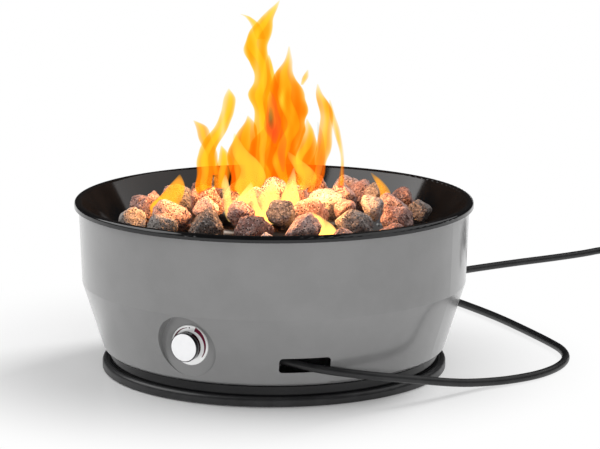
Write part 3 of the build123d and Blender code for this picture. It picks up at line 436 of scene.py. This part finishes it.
# %% Weave of the strap
thread_waves = 300.0
thread_relief = 0.3 * mm
strap_finish, wire, shader = new_finish("strap_weave", Sheen_Weight=0.3)
threads = {"Vector": place_of(wire), "Scale": thread_waves}
weft = wire.node("ShaderNodeTexWave", {"bands_direction": "Z"}, threads)
warp = wire.node("ShaderNodeTexWave", {"bands_direction": "X"}, threads)
weave = weft * warp
feed(shader, "Base Color", blend(wire, weave, srgb(22, 22, 23), srgb(48, 48, 50)))
feed(shader, "Roughness", 0.95 - 0.15 * weave)
feed(shader, "Normal", relief(wire, weave, thread_relief))
strap_data.materials.append(strap_finish)
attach(strap, "pit")
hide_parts("coil_tie")
print("strap woven")

# %% [markdown]
# ## Lava rock
#
# Lava rock is a broken, blistered stone: lumps with blunt corners, hollows and small round pores. The CAD
# model has each lump as a solid with flat sides, where it lies in the heap. Each one is made again here
# from a fine ball of faces: every point is drawn in to the flat sides, with rounded edges, and then
# roughened. Sculpting some forty lumps by hand would look no better and couldn't be run again.

# %% Lumps of a heap
weld_gap = 0.01 * mm


def lump_corners(whole):
    """The corners of each separate solid in a mesh, one list for each."""
    waiting = set(whole.verts)
    found = []
    for start in whole.verts:
        if start not in waiting:
            continue
        waiting.discard(start)
        corners = [start]
        # The list grows while it is walked, until the whole solid is in it.
        for corner in corners:
            for edge in corner.link_edges:
                other = edge.other_vert(corner)
                if other in waiting:
                    waiting.discard(other)
                    corners.append(other)
        found.append(corners)
    return found


def lumps_of(node):
    """The separate solids of a node: for each, its middle and the normals and distances of its sides."""
    whole = bmesh.new()
    whole.from_mesh(node.data)
    bmesh.ops.remove_doubles(whole, verts=whole.verts, dist=weld_gap)
    found = []
    for corners in lump_corners(whole):
        middle = sum((corner.co for corner in corners), Vector()) / len(corners)
        normals = []
        distances = []
        for side in dict.fromkeys(face for corner in corners for face in corner.link_faces):
            way = side.normal.copy()
            distance = (side.calc_center_median() - middle).dot(way)
            if distance < 0:
                way, distance = -way, -distance
            normals.append(way)
            distances.append(distance)
        found.append((middle, np.array(normals), np.array(distances)))
    whole.free()
    found.sort(key=lambda lump: (round(lump[0].x, 4), round(lump[0].y, 4)))
    return found


ball_mesh = bmesh.new()
bmesh.ops.create_icosphere(ball_mesh, subdivisions=5, radius=1.0)
ball_mesh.verts.ensure_lookup_table()
ball_ways = np.array([vert.co.normalized() for vert in ball_mesh.verts])
ball_faces = [[vert.index for vert in face.verts] for face in ball_mesh.faces]
ball_mesh.free()
print("ball of", len(ball_ways), "points")

# %% Shape of the rock
rock_rounding = 12
rock_swell = 1.08
lump_relief = 0.11
lump_size = 15 * mm
blister_relief = 0.055
blister_size = 6 * mm
pore_size = 3.8 * mm
pore_reach = 0.5
pore_depth = 1.3 * mm
noise_field = 50


def rock_points(middle, normals, distances, chance):
    """Points of one lump: a ball drawn in to its flat sides, with lumps, blisters and pores."""
    facing = ball_ways @ normals.T
    inverse = np.clip(facing, 0, None) / distances
    reach = rock_swell / np.power(np.sum(np.power(inverse, rock_rounding), axis=1), 1 / rock_rounding)
    shift = Vector([chance.uniform(-noise_field, noise_field) for _ in range(3)])
    points = []
    for way, distance in zip(ball_ways, reach):
        way = Vector(way)
        place = way * float(distance)
        rough = noise.noise(place / lump_size + shift) * lump_relief
        rough += noise.noise(place / blister_size + shift) * blister_relief
        apart = noise.voronoi(place / pore_size + shift)[0][0]
        pore = max(0.0, 1 - apart / pore_reach)
        points.append(middle + place * (1 + rough) - way * (pore_depth * pore))
    return points


def rock_heap(name, node, seed):
    """All the lumps of a node as one mesh, with a tint for each lump."""
    chance = random.Random(seed)
    points = []
    faces = []
    tints = []
    lumps = lumps_of(nodes[node])
    for middle, normals, distances in lumps:
        first = len(points)
        points += rock_points(middle, normals, distances, chance)
        faces += [[first + index for index in face] for face in ball_faces]
        tints += [chance.random()] * len(ball_ways)
    mesh = bpy.data.meshes.new(name)
    mesh.from_pydata(points, [], faces)
    mesh.polygons.foreach_set("use_smooth", [True] * len(faces))
    mesh.attributes.new("lump_tint", "FLOAT", "POINT").data.foreach_set("value", tints)
    heap = new_object(name, mesh)
    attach(heap, "pit")
    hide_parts(node)
    print(name, len(lumps), "lumps", len(faces), "faces")
    return heap


red_heap = rock_heap("red_lava_lumps", "red_lava_rocks", seed=11)
grey_heap = rock_heap("grey_lava_lumps", "grey_lava_rocks", seed=12)

# %% Finish of the rock
stain_size = 16 * mm
grit_size = 2.8 * mm
pinhole_size = 3 * mm
# The pinholes are painted near black: this is painted shade in the pores.
pinhole_painted_shade = srgb(30, 25, 24)
rock_relief = 2.2 * mm


def rock_finish(name, deep, dust, pale, ember):
    """Porous stone: stains, pale and dark grit, pinholes in painted shade, a tint that differs by lump."""
    material, wire, shader = new_finish(name, Specular_IOR_Level=0.2)
    place = place_of(wire)
    tint = wire.node("ShaderNodeAttribute", {"attribute_name": "lump_tint"}, output="Fac")
    stain = between(wire, cloud(wire, place, stain_size, detail=5.0, rough=0.62), 0.32, 0.68)
    grit = cloud(wire, place, grit_size, detail=4.0, rough=0.65)
    cells = {"Vector": place, "Scale": 1 / pinhole_size}
    to_cell = wire.node("ShaderNodeTexVoronoi", {}, cells, output="Distance")
    pinhole = (1 - between(wire, to_cell, 0.2, 0.46)) * between(wire, grit, 0.36, 0.54)
    pale_lump = between(wire, tint, 0.45, 1.0)
    dark_lump = 1 - between(wire, tint, 0.0, 0.35)
    pale_grit = between(wire, grit, 0.52, 0.7)
    dark_grit = 1 - between(wire, grit, 0.3, 0.46)
    colour = blend(wire, stain, deep, dust)
    colour = blend(wire, pale_lump * 0.6, colour, pale)
    colour = blend(wire, dark_lump * 0.5, colour, ember)
    colour = blend(wire, pale_grit * 0.75, colour, pale)
    colour = blend(wire, dark_grit * 0.75, colour, ember)
    # Painted shade: the pinholes are darkened to near black.
    feed(shader, "Base Color", blend(wire, pinhole * 0.9, colour, pinhole_painted_shade))
    feed(shader, "Roughness", 0.85 + 0.12 * grit)
    feed(shader, "Normal", relief(wire, grit - pinhole * 0.7, rock_relief))
    return material


red_finish = rock_finish(
    "red_lava",
    deep=srgb(138, 105, 99),
    dust=srgb(188, 157, 149),
    pale=srgb(232, 213, 206),
    ember=srgb(106, 70, 63),
)
grey_finish = rock_finish(
    "grey_lava",
    deep=srgb(110, 104, 101),
    dust=srgb(150, 142, 138),
    pale=srgb(205, 197, 191),
    ember=srgb(72, 66, 64),
)
for heap, finish in [(red_heap, red_finish), (grey_heap, grey_finish)]:
    heap.data.materials.append(finish)
    print(finish.name, "on", heap.name)

# %% [markdown]
# ## Paint, enamel and plastic
#
# The shell is sprayed in a satin grey, which shows a faint orange peel when it is seen close to. The bowl
# and the skirt are black enamel, so they act as dark mirrors. The base ring is a satin moulding. Each
# could have a node tree of its own. All of them are a fine grain over an even colour, though, so they
# share one helper and differ in their numbers.

# %% Shell, bowl and base
shell_paint = grained(
    "shell_paint", srgb(114, 114, 114), srgb(119, 119, 119),
    drift=50 * mm, roughness=(0.26, 0.32), depth=0.02 * mm, grain=1.6 * mm,
    Coat_Weight=0.8, Coat_Roughness=0.14,
)
bowl_enamel = grained(
    "bowl_enamel", srgb(15, 15, 16), srgb(20, 20, 21),
    drift=30 * mm, roughness=(0.07, 0.12), depth=0.01 * mm, grain=3 * mm,
)
skirt_enamel = grained(
    "skirt_enamel", srgb(16, 16, 17), srgb(22, 22, 23),
    drift=30 * mm, roughness=(0.1, 0.15), depth=0.01 * mm, grain=3 * mm, Specular_IOR_Level=0.35,
)
ring_plastic = grained(
    "ring_plastic", srgb(28, 28, 29), srgb(38, 38, 39),
    drift=20 * mm, roughness=(0.32, 0.42), depth=0.03 * mm, grain=0.8 * mm,
)
paint(shell_paint, "outer_shell")
paint(bowl_enamel, "fire_bowl")
paint(skirt_enamel, "pedestal_skirt")
paint(ring_plastic, "base_ring")

# %% Rubber and fittings
foot_rubber = grained(
    "foot_rubber", srgb(24, 24, 24), srgb(34, 34, 34),
    drift=4 * mm, roughness=(0.75, 0.9), depth=0.05 * mm, grain=0.7 * mm,
)
seal_rubber = grained(
    "seal_rubber", srgb(22, 22, 22), srgb(32, 32, 32),
    drift=3 * mm, roughness=(0.6, 0.8), depth=0.04 * mm, grain=0.5 * mm,
)
regulator_paint = grained(
    "regulator_paint", srgb(118, 119, 121), srgb(134, 135, 137),
    drift=6 * mm, roughness=(0.35, 0.5), depth=0.06 * mm, grain=1.2 * mm,
)
nut_plastic = grained(
    "nut_plastic", srgb(20, 20, 21), srgb(32, 32, 33),
    drift=8 * mm, roughness=(0.45, 0.6), depth=0.05 * mm, grain=0.6 * mm,
)
paint(foot_rubber, "rubber_feet")
paint(seal_rubber, "regulator_diaphragm", "nipple_seal")
paint(regulator_paint, "regulator_body", "regulator_cover")
paint(nut_plastic, "tank_nut")

# %% [markdown]
# ## Metals
#
# Zinc-plated steel has a fine, slightly blotched sheen. The burner's steel is stained straw and brown by
# heat. Brass and cast aluminium drift a little in colour where they have been handled. All of them are
# full metals, so the colour that is set is the colour of the reflection. They too are a fine grain over
# a drifting colour, so the same helper makes them.

# %% Steel
zinc_steel = grained(
    "zinc_steel", srgb(176, 178, 180), srgb(204, 205, 206),
    drift=6 * mm, roughness=(0.28, 0.42), depth=0.02 * mm, grain=0.9 * mm, Metallic=1.0,
)
burner_steel = grained(
    "burner_steel", srgb(96, 78, 62), srgb(150, 142, 134),
    drift=20 * mm, roughness=(0.32, 0.5), depth=0.03 * mm, grain=0.9 * mm, Metallic=1.0,
)
spring_steel = grained(
    "spring_steel", srgb(150, 151, 154), srgb(180, 181, 184),
    drift=4 * mm, roughness=(0.25, 0.35), Metallic=1.0,
)
paint(
    zinc_steel,
    "shell_rivets",
    "ring_screws",
    "heat_shield",
    "shield_spacers",
    "shield_screws",
    "shield_nuts",
    "burner_locknut",
    "valve_screws",
    "stem_washer",
    "hose_crimp",
    "regulator_crimp",
    "regulator_screws",
)
paint(burner_steel, "burner_ring", "burner_crossbar", "burner_inlet")
paint(spring_steel, "stem_spring", "regulator_spring", "knob_clip")

# %% Brass and aluminium
fitting_brass = grained(
    "fitting_brass", srgb(176, 138, 72), srgb(214, 178, 104),
    drift=8 * mm, roughness=(0.25, 0.4), depth=0.02 * mm, grain=0.8 * mm, Metallic=1.0,
)
cast_aluminium = grained(
    "cast_aluminium", srgb(168, 169, 171), srgb(196, 197, 199),
    drift=6 * mm, roughness=(0.38, 0.55), depth=0.05 * mm, grain=0.7 * mm, Metallic=1.0,
)
paint(fitting_brass, "gas_jet", "tube_nuts", "valve_plug", "valve_stem", "hose_fitting", "tank_nipple")
paint(cast_aluminium, "air_mixer", "gas_tube", "valve_body", "valve_bonnet")

# %% [markdown]
# ## The knob and its bezel
#
# The knob is chromed and was turned on a lathe, which leaves rings too fine to see one by one. Its side
# is given a dark grey, which is a painted dark reflection in the chrome. The bezel behind it is a pale
# disc
# with a printed scale: two tapered red bands, a short black arc and a dot at the top. The print could be a
# picture on the disc. It is worked out from the distance and the angle about the knob's axis instead, so
# it stays sharp at any size.

# %% Knob
knob_height = valve_height * mm
knob_face_radius = 17.4 * mm
knob_edge = 0.6 * mm
knob_haze = 6 * mm
# The side of the knob is a dark grey: a painted dark reflection in its chrome.
knob_side_painted_reflection = srgb(84, 84, 86)
lathe_pitch = 0.35 * mm


def about_knob(wire):
    """How far a place is to the right of the knob's axis, above it, and from it."""
    place = place_of(wire)
    right = wire.node("ShaderNodeSeparateXYZ", {}, {0: place}, output="X")
    up = wire.node("ShaderNodeSeparateXYZ", {}, {0: place}, output="Z") - knob_height
    return right, up, (right * right + up * up) ** 0.5


knob_finish, wire, shader = new_finish("knob_chrome")
right, up, radius = about_knob(wire)
rings = wire.maths("SINE", radius * (2 * math.pi / lathe_pitch))
haze = cloud(wire, place_of(wire), knob_haze)
on_side = between(wire, radius, knob_face_radius, knob_face_radius + knob_edge)
face_colour = blend(wire, haze, srgb(236, 236, 238), srgb(246, 246, 247))
# On the side the colour turns to the dark grey of the painted reflection.
feed(shader, "Base Color", blend(wire, on_side, face_colour, knob_side_painted_reflection))
feed(shader, "Metallic", 0.6 + 0.4 * on_side)
feed(shader, "Roughness", 0.05 + 0.05 * haze + 0.01 * rings)
paint(knob_finish, "control_knob")

# %% Bezel
band_radius = 22.6 * mm
band_colour = srgb(94, 24, 46)
mark_colour = srgb(24, 24, 24)
dot_radius = 1.0 * mm
print_edge = 0.08 * mm
band_edge = 0.6
bezel_haze = 4 * mm
bezel_finish, wire, shader = new_finish("bezel_print", Coat_Weight=0.4, Coat_Roughness=0.06)
right, up, radius = about_knob(wire)
turn = wire.maths("ARCTAN2", 0.0 - right, up) * (180 / math.pi)
off_band = wire.maths("ABSOLUTE", radius - band_radius)


def band(first, last, first_half, last_half):
    """1 on an arc between two turns in degrees, positive to the left, with a half width that tapers."""
    taper = {"From Min": first, "From Max": last, "To Min": first_half, "To Max": last_half}
    half = wire.node("ShaderNodeMapRange", {}, {"Value": turn, **taper})
    begun = between(wire, turn, first - band_edge, first + band_edge)
    ended = between(wire, turn, last - band_edge, last + band_edge)
    return begun * (1 - ended) * (1 - between(wire, off_band - half, -print_edge, print_edge))


from_dot = (right * right + (up - band_radius) ** 2.0) ** 0.5
dot = 1 - between(wire, from_dot, dot_radius - print_edge, dot_radius + print_edge)
black_arc = band(7, 16, 0.3 * mm, 0.5 * mm)
left_band = band(16, 128, 0.5 * mm, 2.4 * mm)
right_band = band(-128, -20, 0.5 * mm, 2.9 * mm)
in_black = wire.maths("MAXIMUM", dot, black_arc)
in_red = wire.maths("MAXIMUM", left_band, right_band)
haze = cloud(wire, place_of(wire), bezel_haze)
ground = blend(wire, haze, srgb(238, 238, 238), srgb(248, 248, 248))
printed = blend(wire, in_red, ground, band_colour)
feed(shader, "Base Color", blend(wire, in_black, printed, mark_colour))
feed(shader, "Metallic", 0.22 * (1 - wire.maths("MAXIMUM", in_red, in_black)))
feed(shader, "Roughness", 0.12 + 0.1 * haze)
paint(bezel_finish, "knob_bezel")

# %% [markdown]
# ## Floor and light
#
# The pit stands on a white paper sweep. A soft box at the left lights it from above, one high behind it
# throws its shade forward and to the left, and a low one in front fills the wall. The box at the right is
# only mirrored. The bowl mirrors the two side boxes as grey panes with black between them, so the room is
# dark to a mirror. A floor lit until it is white would lose the shade. This one keeps it, and away from
# the pit it turns to plain white where it is looked at, straight or in a mirror.

# %% Floor
floor_radius = 9.0
floor_sides = 96
floor_colour = (0.86, 0.86, 0.86, 1.0)
white = (1, 1, 1, 1)
sweep_start = 0.22
sweep_end = 0.53
shade_middle = as_seen(-0.07, 0.05, 0)
bpy.ops.mesh.primitive_circle_add(
    vertices=floor_sides, radius=floor_radius, fill_type="NGON", location=(0, 0, 0)
)
floor = bpy.context.object
floor.name = "studio_floor"
floor_finish, wire, shader = new_finish(
    "studio_floor", Base_Color=floor_colour, Roughness=0.28, Specular_IOR_Level=0.3
)


def seen_ray(wire, *kinds):
    """1 for the kinds of ray that are named, and 0 for the others."""
    seen = wire.node("ShaderNodeLightPath", output=kinds[0])
    for kind in kinds[1:]:
        seen = wire.maths("MAXIMUM", seen, wire.node("ShaderNodeLightPath", output=kind))
    return seen


ends = {0: place_of(wire), 1: shade_middle}
from_shade = wire.node("ShaderNodeVectorMath", {"operation": "DISTANCE"}, ends, output="Value")
sweep = between(wire, from_shade, sweep_start, sweep_end)
paper = wire.node("ShaderNodeEmission", {}, {"Color": white, "Strength": 1.0})
lit = Wire(wire.tree, shader.outputs[0])
to_eye = seen_ray(wire, "Is Camera Ray", "Is Glossy Ray", "Is Transmission Ray")
shown = wire.node("ShaderNodeMixShader", {}, {0: to_eye * sweep, 1: lit, 2: paper})
wire.tree.links.new(shown.socket, wire.tree.nodes["Material Output"].inputs["Surface"])
floor.data.materials.append(floor_finish)
print("floor", floor.dimensions.x, "m across")

# %% Room
room_level = 0.34
mirror_level = 0.02
room = bpy.data.worlds.new("pale_room")
bpy.context.scene.world = room
room.use_nodes = True
wire = Wire(room.node_tree)


def wall_light(level):
    """White light from all round, at that level."""
    return wire.node("ShaderNodeBackground", {}, {"Color": white, "Strength": level})


in_mirror = {0: seen_ray(wire, "Is Glossy Ray"), 1: wall_light(room_level), 2: wall_light(mirror_level)}
unseen = wire.node("ShaderNodeMixShader", {}, in_mirror)
in_view = {0: seen_ray(wire, "Is Camera Ray"), 1: unseen, 2: wall_light(1.0)}
shown = wire.node("ShaderNodeMixShader", {}, in_view)
wire.tree.links.new(shown.socket, wire.tree.nodes["World Output"].inputs["Surface"])
print("room at", room_level, "and to a mirror at", mirror_level)

# %% Lamps
lamp_target = Vector((0, 0, 0.12))


def soft_lamp(name, place, size, power):
    """A rectangular soft box of that size in metres, facing the pit from a place as the camera sees it."""
    lamp = bpy.data.lights.new(name, "AREA")
    lamp.shape = "RECTANGLE"
    lamp.size, lamp.size_y = size
    lamp.energy = power
    holder = new_object(name, lamp)
    holder.location = as_seen(*place)
    holder.rotation_euler = (lamp_target - holder.location).to_track_quat("-Z", "Y").to_euler()
    print(name, power, "W")
    return holder


soft_lamp("left_box", place=(-1.35, 0.05, 1.35), size=(1.8, 1.5), power=24)
right_box = soft_lamp("right_box", place=(1.35, 0.15, 1.35), size=(2.3, 1.5), power=10)
front_box = soft_lamp("front_box", place=(0.3, -2.3, 0.3), size=(1.4, 0.5), power=26)
back_box = soft_lamp("back_box", place=(1.4, 1.7, 1.6), size=(1.0, 1.0), power=66)
right_box.visible_diffuse = False
front_box.visible_glossy = False
back_box.visible_glossy = False

# %% [markdown]
# ## The fire
#
# A gas flame isn't a piece of the pit, so, like the floor, it isn't attached to the pit's body. It glows,
# and it also dims the light behind it, the blue most of all, which is why it looks orange on white paper.
# Each tongue is a closed skin round an even gas, so it is deep where it is thick and fades at its edge.
# Tall tongues are orange or yellow with a bright core, low ones are amber or pale, and a few streaks are
# soot. A simulated fire would need a stored cache, and a flat picture of one would only face one way.

# %% Tall tongues
# Each has its gas, how far back it stands, and from the tip down its (across, up, half width), in mm.
tongues = {
    "tall": ("yellow", 10, [
        (7, 491, 1), (-4, 475, 7), (-15, 456, 13), (-24, 432, 15), (-19, 405, 13), (-15, 381, 12),
        (-21, 362, 13), (-16, 338, 10), (-15, 305, 11), (-21, 236, 7),
    ]),
    "broad": ("orange", 25, [
        (20, 428, 1), (19, 410, 5), (13, 391, 12), (17, 370, 19), (24, 348, 21), (20, 321, 24),
        (13, 292, 23), (12, 262, 20), (11, 233, 11),
    ]),
    "right": ("orange", 15, [
        (58, 379, 1), (60, 366, 5), (66, 351, 9), (71, 332, 8), (68, 308, 9), (63, 285, 11),
        (58, 260, 11), (50, 233, 7),
    ]),
    "right_thin": ("orange", 40, [
        (75, 354, 1), (79, 332, 4), (86, 305, 4), (92, 276, 3), (91, 249, 4), (88, 229, 6),
    ]),
    "left": ("yellow", 0, [
        (-60, 375, 1), (-59, 362, 8), (-62, 343, 9), (-70, 324, 9), (-82, 305, 12), (-91, 284, 11),
        (-91, 265, 12), (-95, 246, 12), (-91, 225, 7),
    ]),
    "left_thin": ("orange", 15, [
        (-107, 330, 1), (-96, 321, 7), (-92, 303, 8), (-83, 281, 8), (-78, 257, 7),
    ]),
    "middle": ("orange", 5, [
        (-35, 338, 1), (-33, 324, 9), (-36, 305, 16), (-42, 284, 20), (-46, 260, 17), (-48, 236, 11),
    ]),
    "back": ("orange", 45, [
        (0, 330, 1), (-4, 310, 14), (-10, 285, 24), (-12, 260, 26), (-10, 236, 16),
    ]),
    "right_inner": ("orange", 30, [
        (44, 330, 1), (46, 312, 8), (44, 290, 14), (38, 265, 15), (36, 240, 9),
    ]),
    "left_inner": ("yellow", -10, [(-70, 300, 1), (-66, 285, 8), (-68, 265, 11), (-72, 243, 9)]),
    "spike": ("yellow", 10, [(-44, 473, 1), (-34, 469, 4), (-24, 458, 6), (-18, 440, 6)]),
    "spark": ("orange", 15, [(45, 398, 1), (41, 388, 4), (37, 378, 2)]),
    "gap": ("orange", 30, [
        (-7, 416, 1), (-6, 398, 7), (-3, 372, 11), (-2, 345, 13), (0, 318, 12), (2, 292, 8),
    ]),
}
print("tall tongues:", len(tongues))

# %% Low tongues and streaks of soot
tongues |= {
    "far_left": ("amber", -50, [
        (-124, 268, 1), (-127, 255, 9), (-134, 241, 14), (-144, 225, 18), (-150, 208, 8),
    ]),
    "far_right": ("amber", 10, [
        (130, 260, 1), (139, 249, 5), (149, 234, 7), (151, 219, 6), (150, 210, 3),
    ]),
    "front_left": ("amber", -25, [
        (-52, 319, 1), (-48, 303, 7), (-38, 284, 15), (-29, 266, 17), (-35, 246, 15), (-31, 228, 8),
    ]),
    "front_right": ("amber", -30, [
        (19, 295, 1), (27, 285, 7), (40, 270, 12), (46, 258, 9), (36, 244, 5),
    ]),
    "dark_middle": ("soot", -6, [(-5, 374, 1), (-3, 356, 7), (0, 336, 11), (-1, 318, 9), (1, 302, 2)]),
    "dark_right": ("soot", 2, [(58, 330, 1), (62, 311, 4), (64, 290, 5), (61, 268, 5), (57, 244, 2)]),
    "dark_inner": ("soot", -6, [(8, 328, 1), (12, 306, 5), (10, 286, 5), (12, 264, 2)]),
    "low_middle": ("pale", -60, [
        (-4, 262, 1), (-3, 250, 7), (-8, 236, 14), (-6, 218, 17), (-4, 205, 16),
    ]),
    "low_left": ("pale", -40, [
        (-64, 266, 1), (-63, 250, 7), (-61, 232, 8), (-58, 217, 9), (-55, 203, 4),
    ]),
    "low_right": ("pale", -45, [
        (26, 276, 1), (24, 258, 6), (22, 242, 11), (22, 225, 15), (26, 206, 17),
    ]),
    "low_front": ("pale", -115, [
        (50, 230, 1), (55, 222, 8), (62, 212, 15), (66, 200, 22), (66, 188, 22),
    ]),
    "low_left_front": ("pale", -75, [
        (-30, 262, 1), (-32, 250, 8), (-34, 238, 14), (-32, 224, 18), (-30, 206, 18),
    ]),
}
print("tongues in all:", len(tongues))


# %% Gases
def flame_gas(name, glow, dimming):
    """A gas that gives and takes light evenly all through, by the metre, for red, green and blue."""
    material = bpy.data.materials.new(name)
    material.use_nodes = True
    tree = material.node_tree
    tree.nodes.clear()
    wire = Wire(tree)
    most = max(dimming)
    passed = [1 - share / most for share in dimming]
    taken = wire.node("ShaderNodeVolumeAbsorption", {}, {"Color": (*passed, 1), "Density": most})
    brightest = max(glow)
    hue = [share / brightest for share in glow]
    given = wire.node("ShaderNodeEmission", {}, {"Color": (*hue, 1), "Strength": brightest})
    both = wire.node("ShaderNodeAddShader", {}, {0: taken, 1: given})
    output = tree.nodes.new("ShaderNodeOutputMaterial")
    tree.links.new(both.socket, output.inputs["Volume"])
    return material


gases = {
    "orange": flame_gas("orange_flame", glow=(90, 19, 0.6), dimming=(14, 115, 300)),
    "yellow": flame_gas("yellow_flame", glow=(100, 34, 1.5), dimming=(12, 110, 310)),
    "amber": flame_gas("amber_flame", glow=(140, 66, 10), dimming=(10, 95, 270)),
    "bright": flame_gas("bright_flame", glow=(160, 105, 20), dimming=(8, 80, 240)),
    "pale": flame_gas("pale_flame", glow=(150, 112, 44), dimming=(8, 60, 160)),
    "soot": flame_gas("sooty_flame", glow=(6, 4, 2), dimming=(95, 85, 110)),
}
print("gases:", ", ".join(gases))

# %% Skin of a tongue
flame_depth = 0.55
ring_points = 40
path_steps = 10
fold_across = 9.0
fold_up = 42.0
fold_share = 0.75
flicker_up = 24.0
flicker_share = 0.4


def smooth_path(path):
    """More points along a path, on a smooth line through the given ones."""
    ends = [path[0]] + path + [path[-1]]
    made = []
    for before, first, second, after in zip(ends, ends[1:], ends[2:], ends[3:]):
        for k in range(path_steps):
            share = k / path_steps
            point = []
            for a, b, c, d in zip(before, first, second, after):
                bend = (2 * a - 5 * b + 4 * c - d) * share**2 + (3 * b - a - 3 * c + d) * share**3
                point.append(0.5 * (2 * b + (c - a) * share + bend))
            made.append(point)
    return made + [path[-1]]


def flame_points(rings, away, share, sway):
    """Points of a skin round one path, as a share of its width, which may sway inside that width."""
    points = []
    for across, up, half in rings:
        lean = sway * half * noise.noise(Vector((up / fold_up, away, 0)))
        middle = as_seen(across + lean, away, up)
        for k in range(ring_points):
            angle = 2 * math.pi * k / ring_points
            flicker = noise.noise(Vector((math.cos(angle), up / flicker_up, away / fold_across)))
            aside = half * share * math.cos(angle) * (1 + flicker_share * flicker)
            fold = noise.noise(Vector(((across + aside) / fold_across, up / fold_up, away)))
            depth = half * share * flame_depth * math.sin(angle) * (1 + fold_share * fold)
            points.append((middle + camera_right * aside + camera_away * depth) * mm)
    return points


def flame_faces(ring_count):
    """The faces between the rings of a skin, and one to close each end."""
    faces = []
    for row in range(ring_count - 1):
        for k in range(ring_points):
            first = row * ring_points + k
            second = row * ring_points + (k + 1) % ring_points
            faces.append([first, first + ring_points, second + ring_points, second])
    last_ring = (ring_count - 1) * ring_points
    faces.append(list(range(ring_points)))
    faces.append([last_ring + k for k in reversed(range(ring_points))])
    return faces


print("a ring of a skin has", ring_points, "points")

# %% Flames
core_share = 0.42
core_sway = 0.8
gases_with_core = ("orange", "yellow")


def flame_skin(name, gas, away, path, share=1.0, sway=0.0):
    """A closed skin of gas round one path, which is seen but lights nothing by itself."""
    rings = smooth_path(path)
    mesh = bpy.data.meshes.new(name)
    mesh.from_pydata(flame_points(rings, away, share, sway), [], flame_faces(len(rings)))
    mesh.materials.append(gases[gas])
    flame = new_object(name, mesh)
    flame.visible_shadow = False
    flame.visible_diffuse = False
    flame.visible_glossy = False


for name, (gas, away, path) in tongues.items():
    flame_skin("flame_" + name, gas, away, path)
    if gas in gases_with_core:
        flame_skin("core_" + name, "bright", away, path, core_share, core_sway)
print("tongues of flame:", len(tongues))

# %% Glow of the fire
ember_colour = (1.0, 0.42, 0.12)
ember_size = 0.02
# The places are in mm as the camera sees them, across, away and up, and the power is in watts.
embers = [
    ((-85, -15, 268), 0.4),
    ((-30, -50, 275), 0.7),
    ((30, -55, 272), 0.7),
    ((75, -20, 268), 0.35),
    ((68, -115, 236), 0.2),
    ((-140, -75, 264), 0.3),
    ((-60, -70, 330), 1.3),
    ((40, -70, 340), 1.2),
]
for place, power in embers:
    ember = bpy.data.lights.new("ember_glow", "POINT")
    ember.energy = power
    ember.color = ember_colour
    ember.shadow_soft_size = ember_size
    holder = new_object("ember_glow", ember)
    holder.location = as_seen(*place) * mm
    holder.visible_glossy = False
print("lights in the fire:", len(embers))

# %% [markdown]
# ## Colour
#
# The look is kept in the standard view transform, so that a colour comes out about as it was written.

# %% View transform
bpy.context.scene.view_settings.view_transform = "Standard"
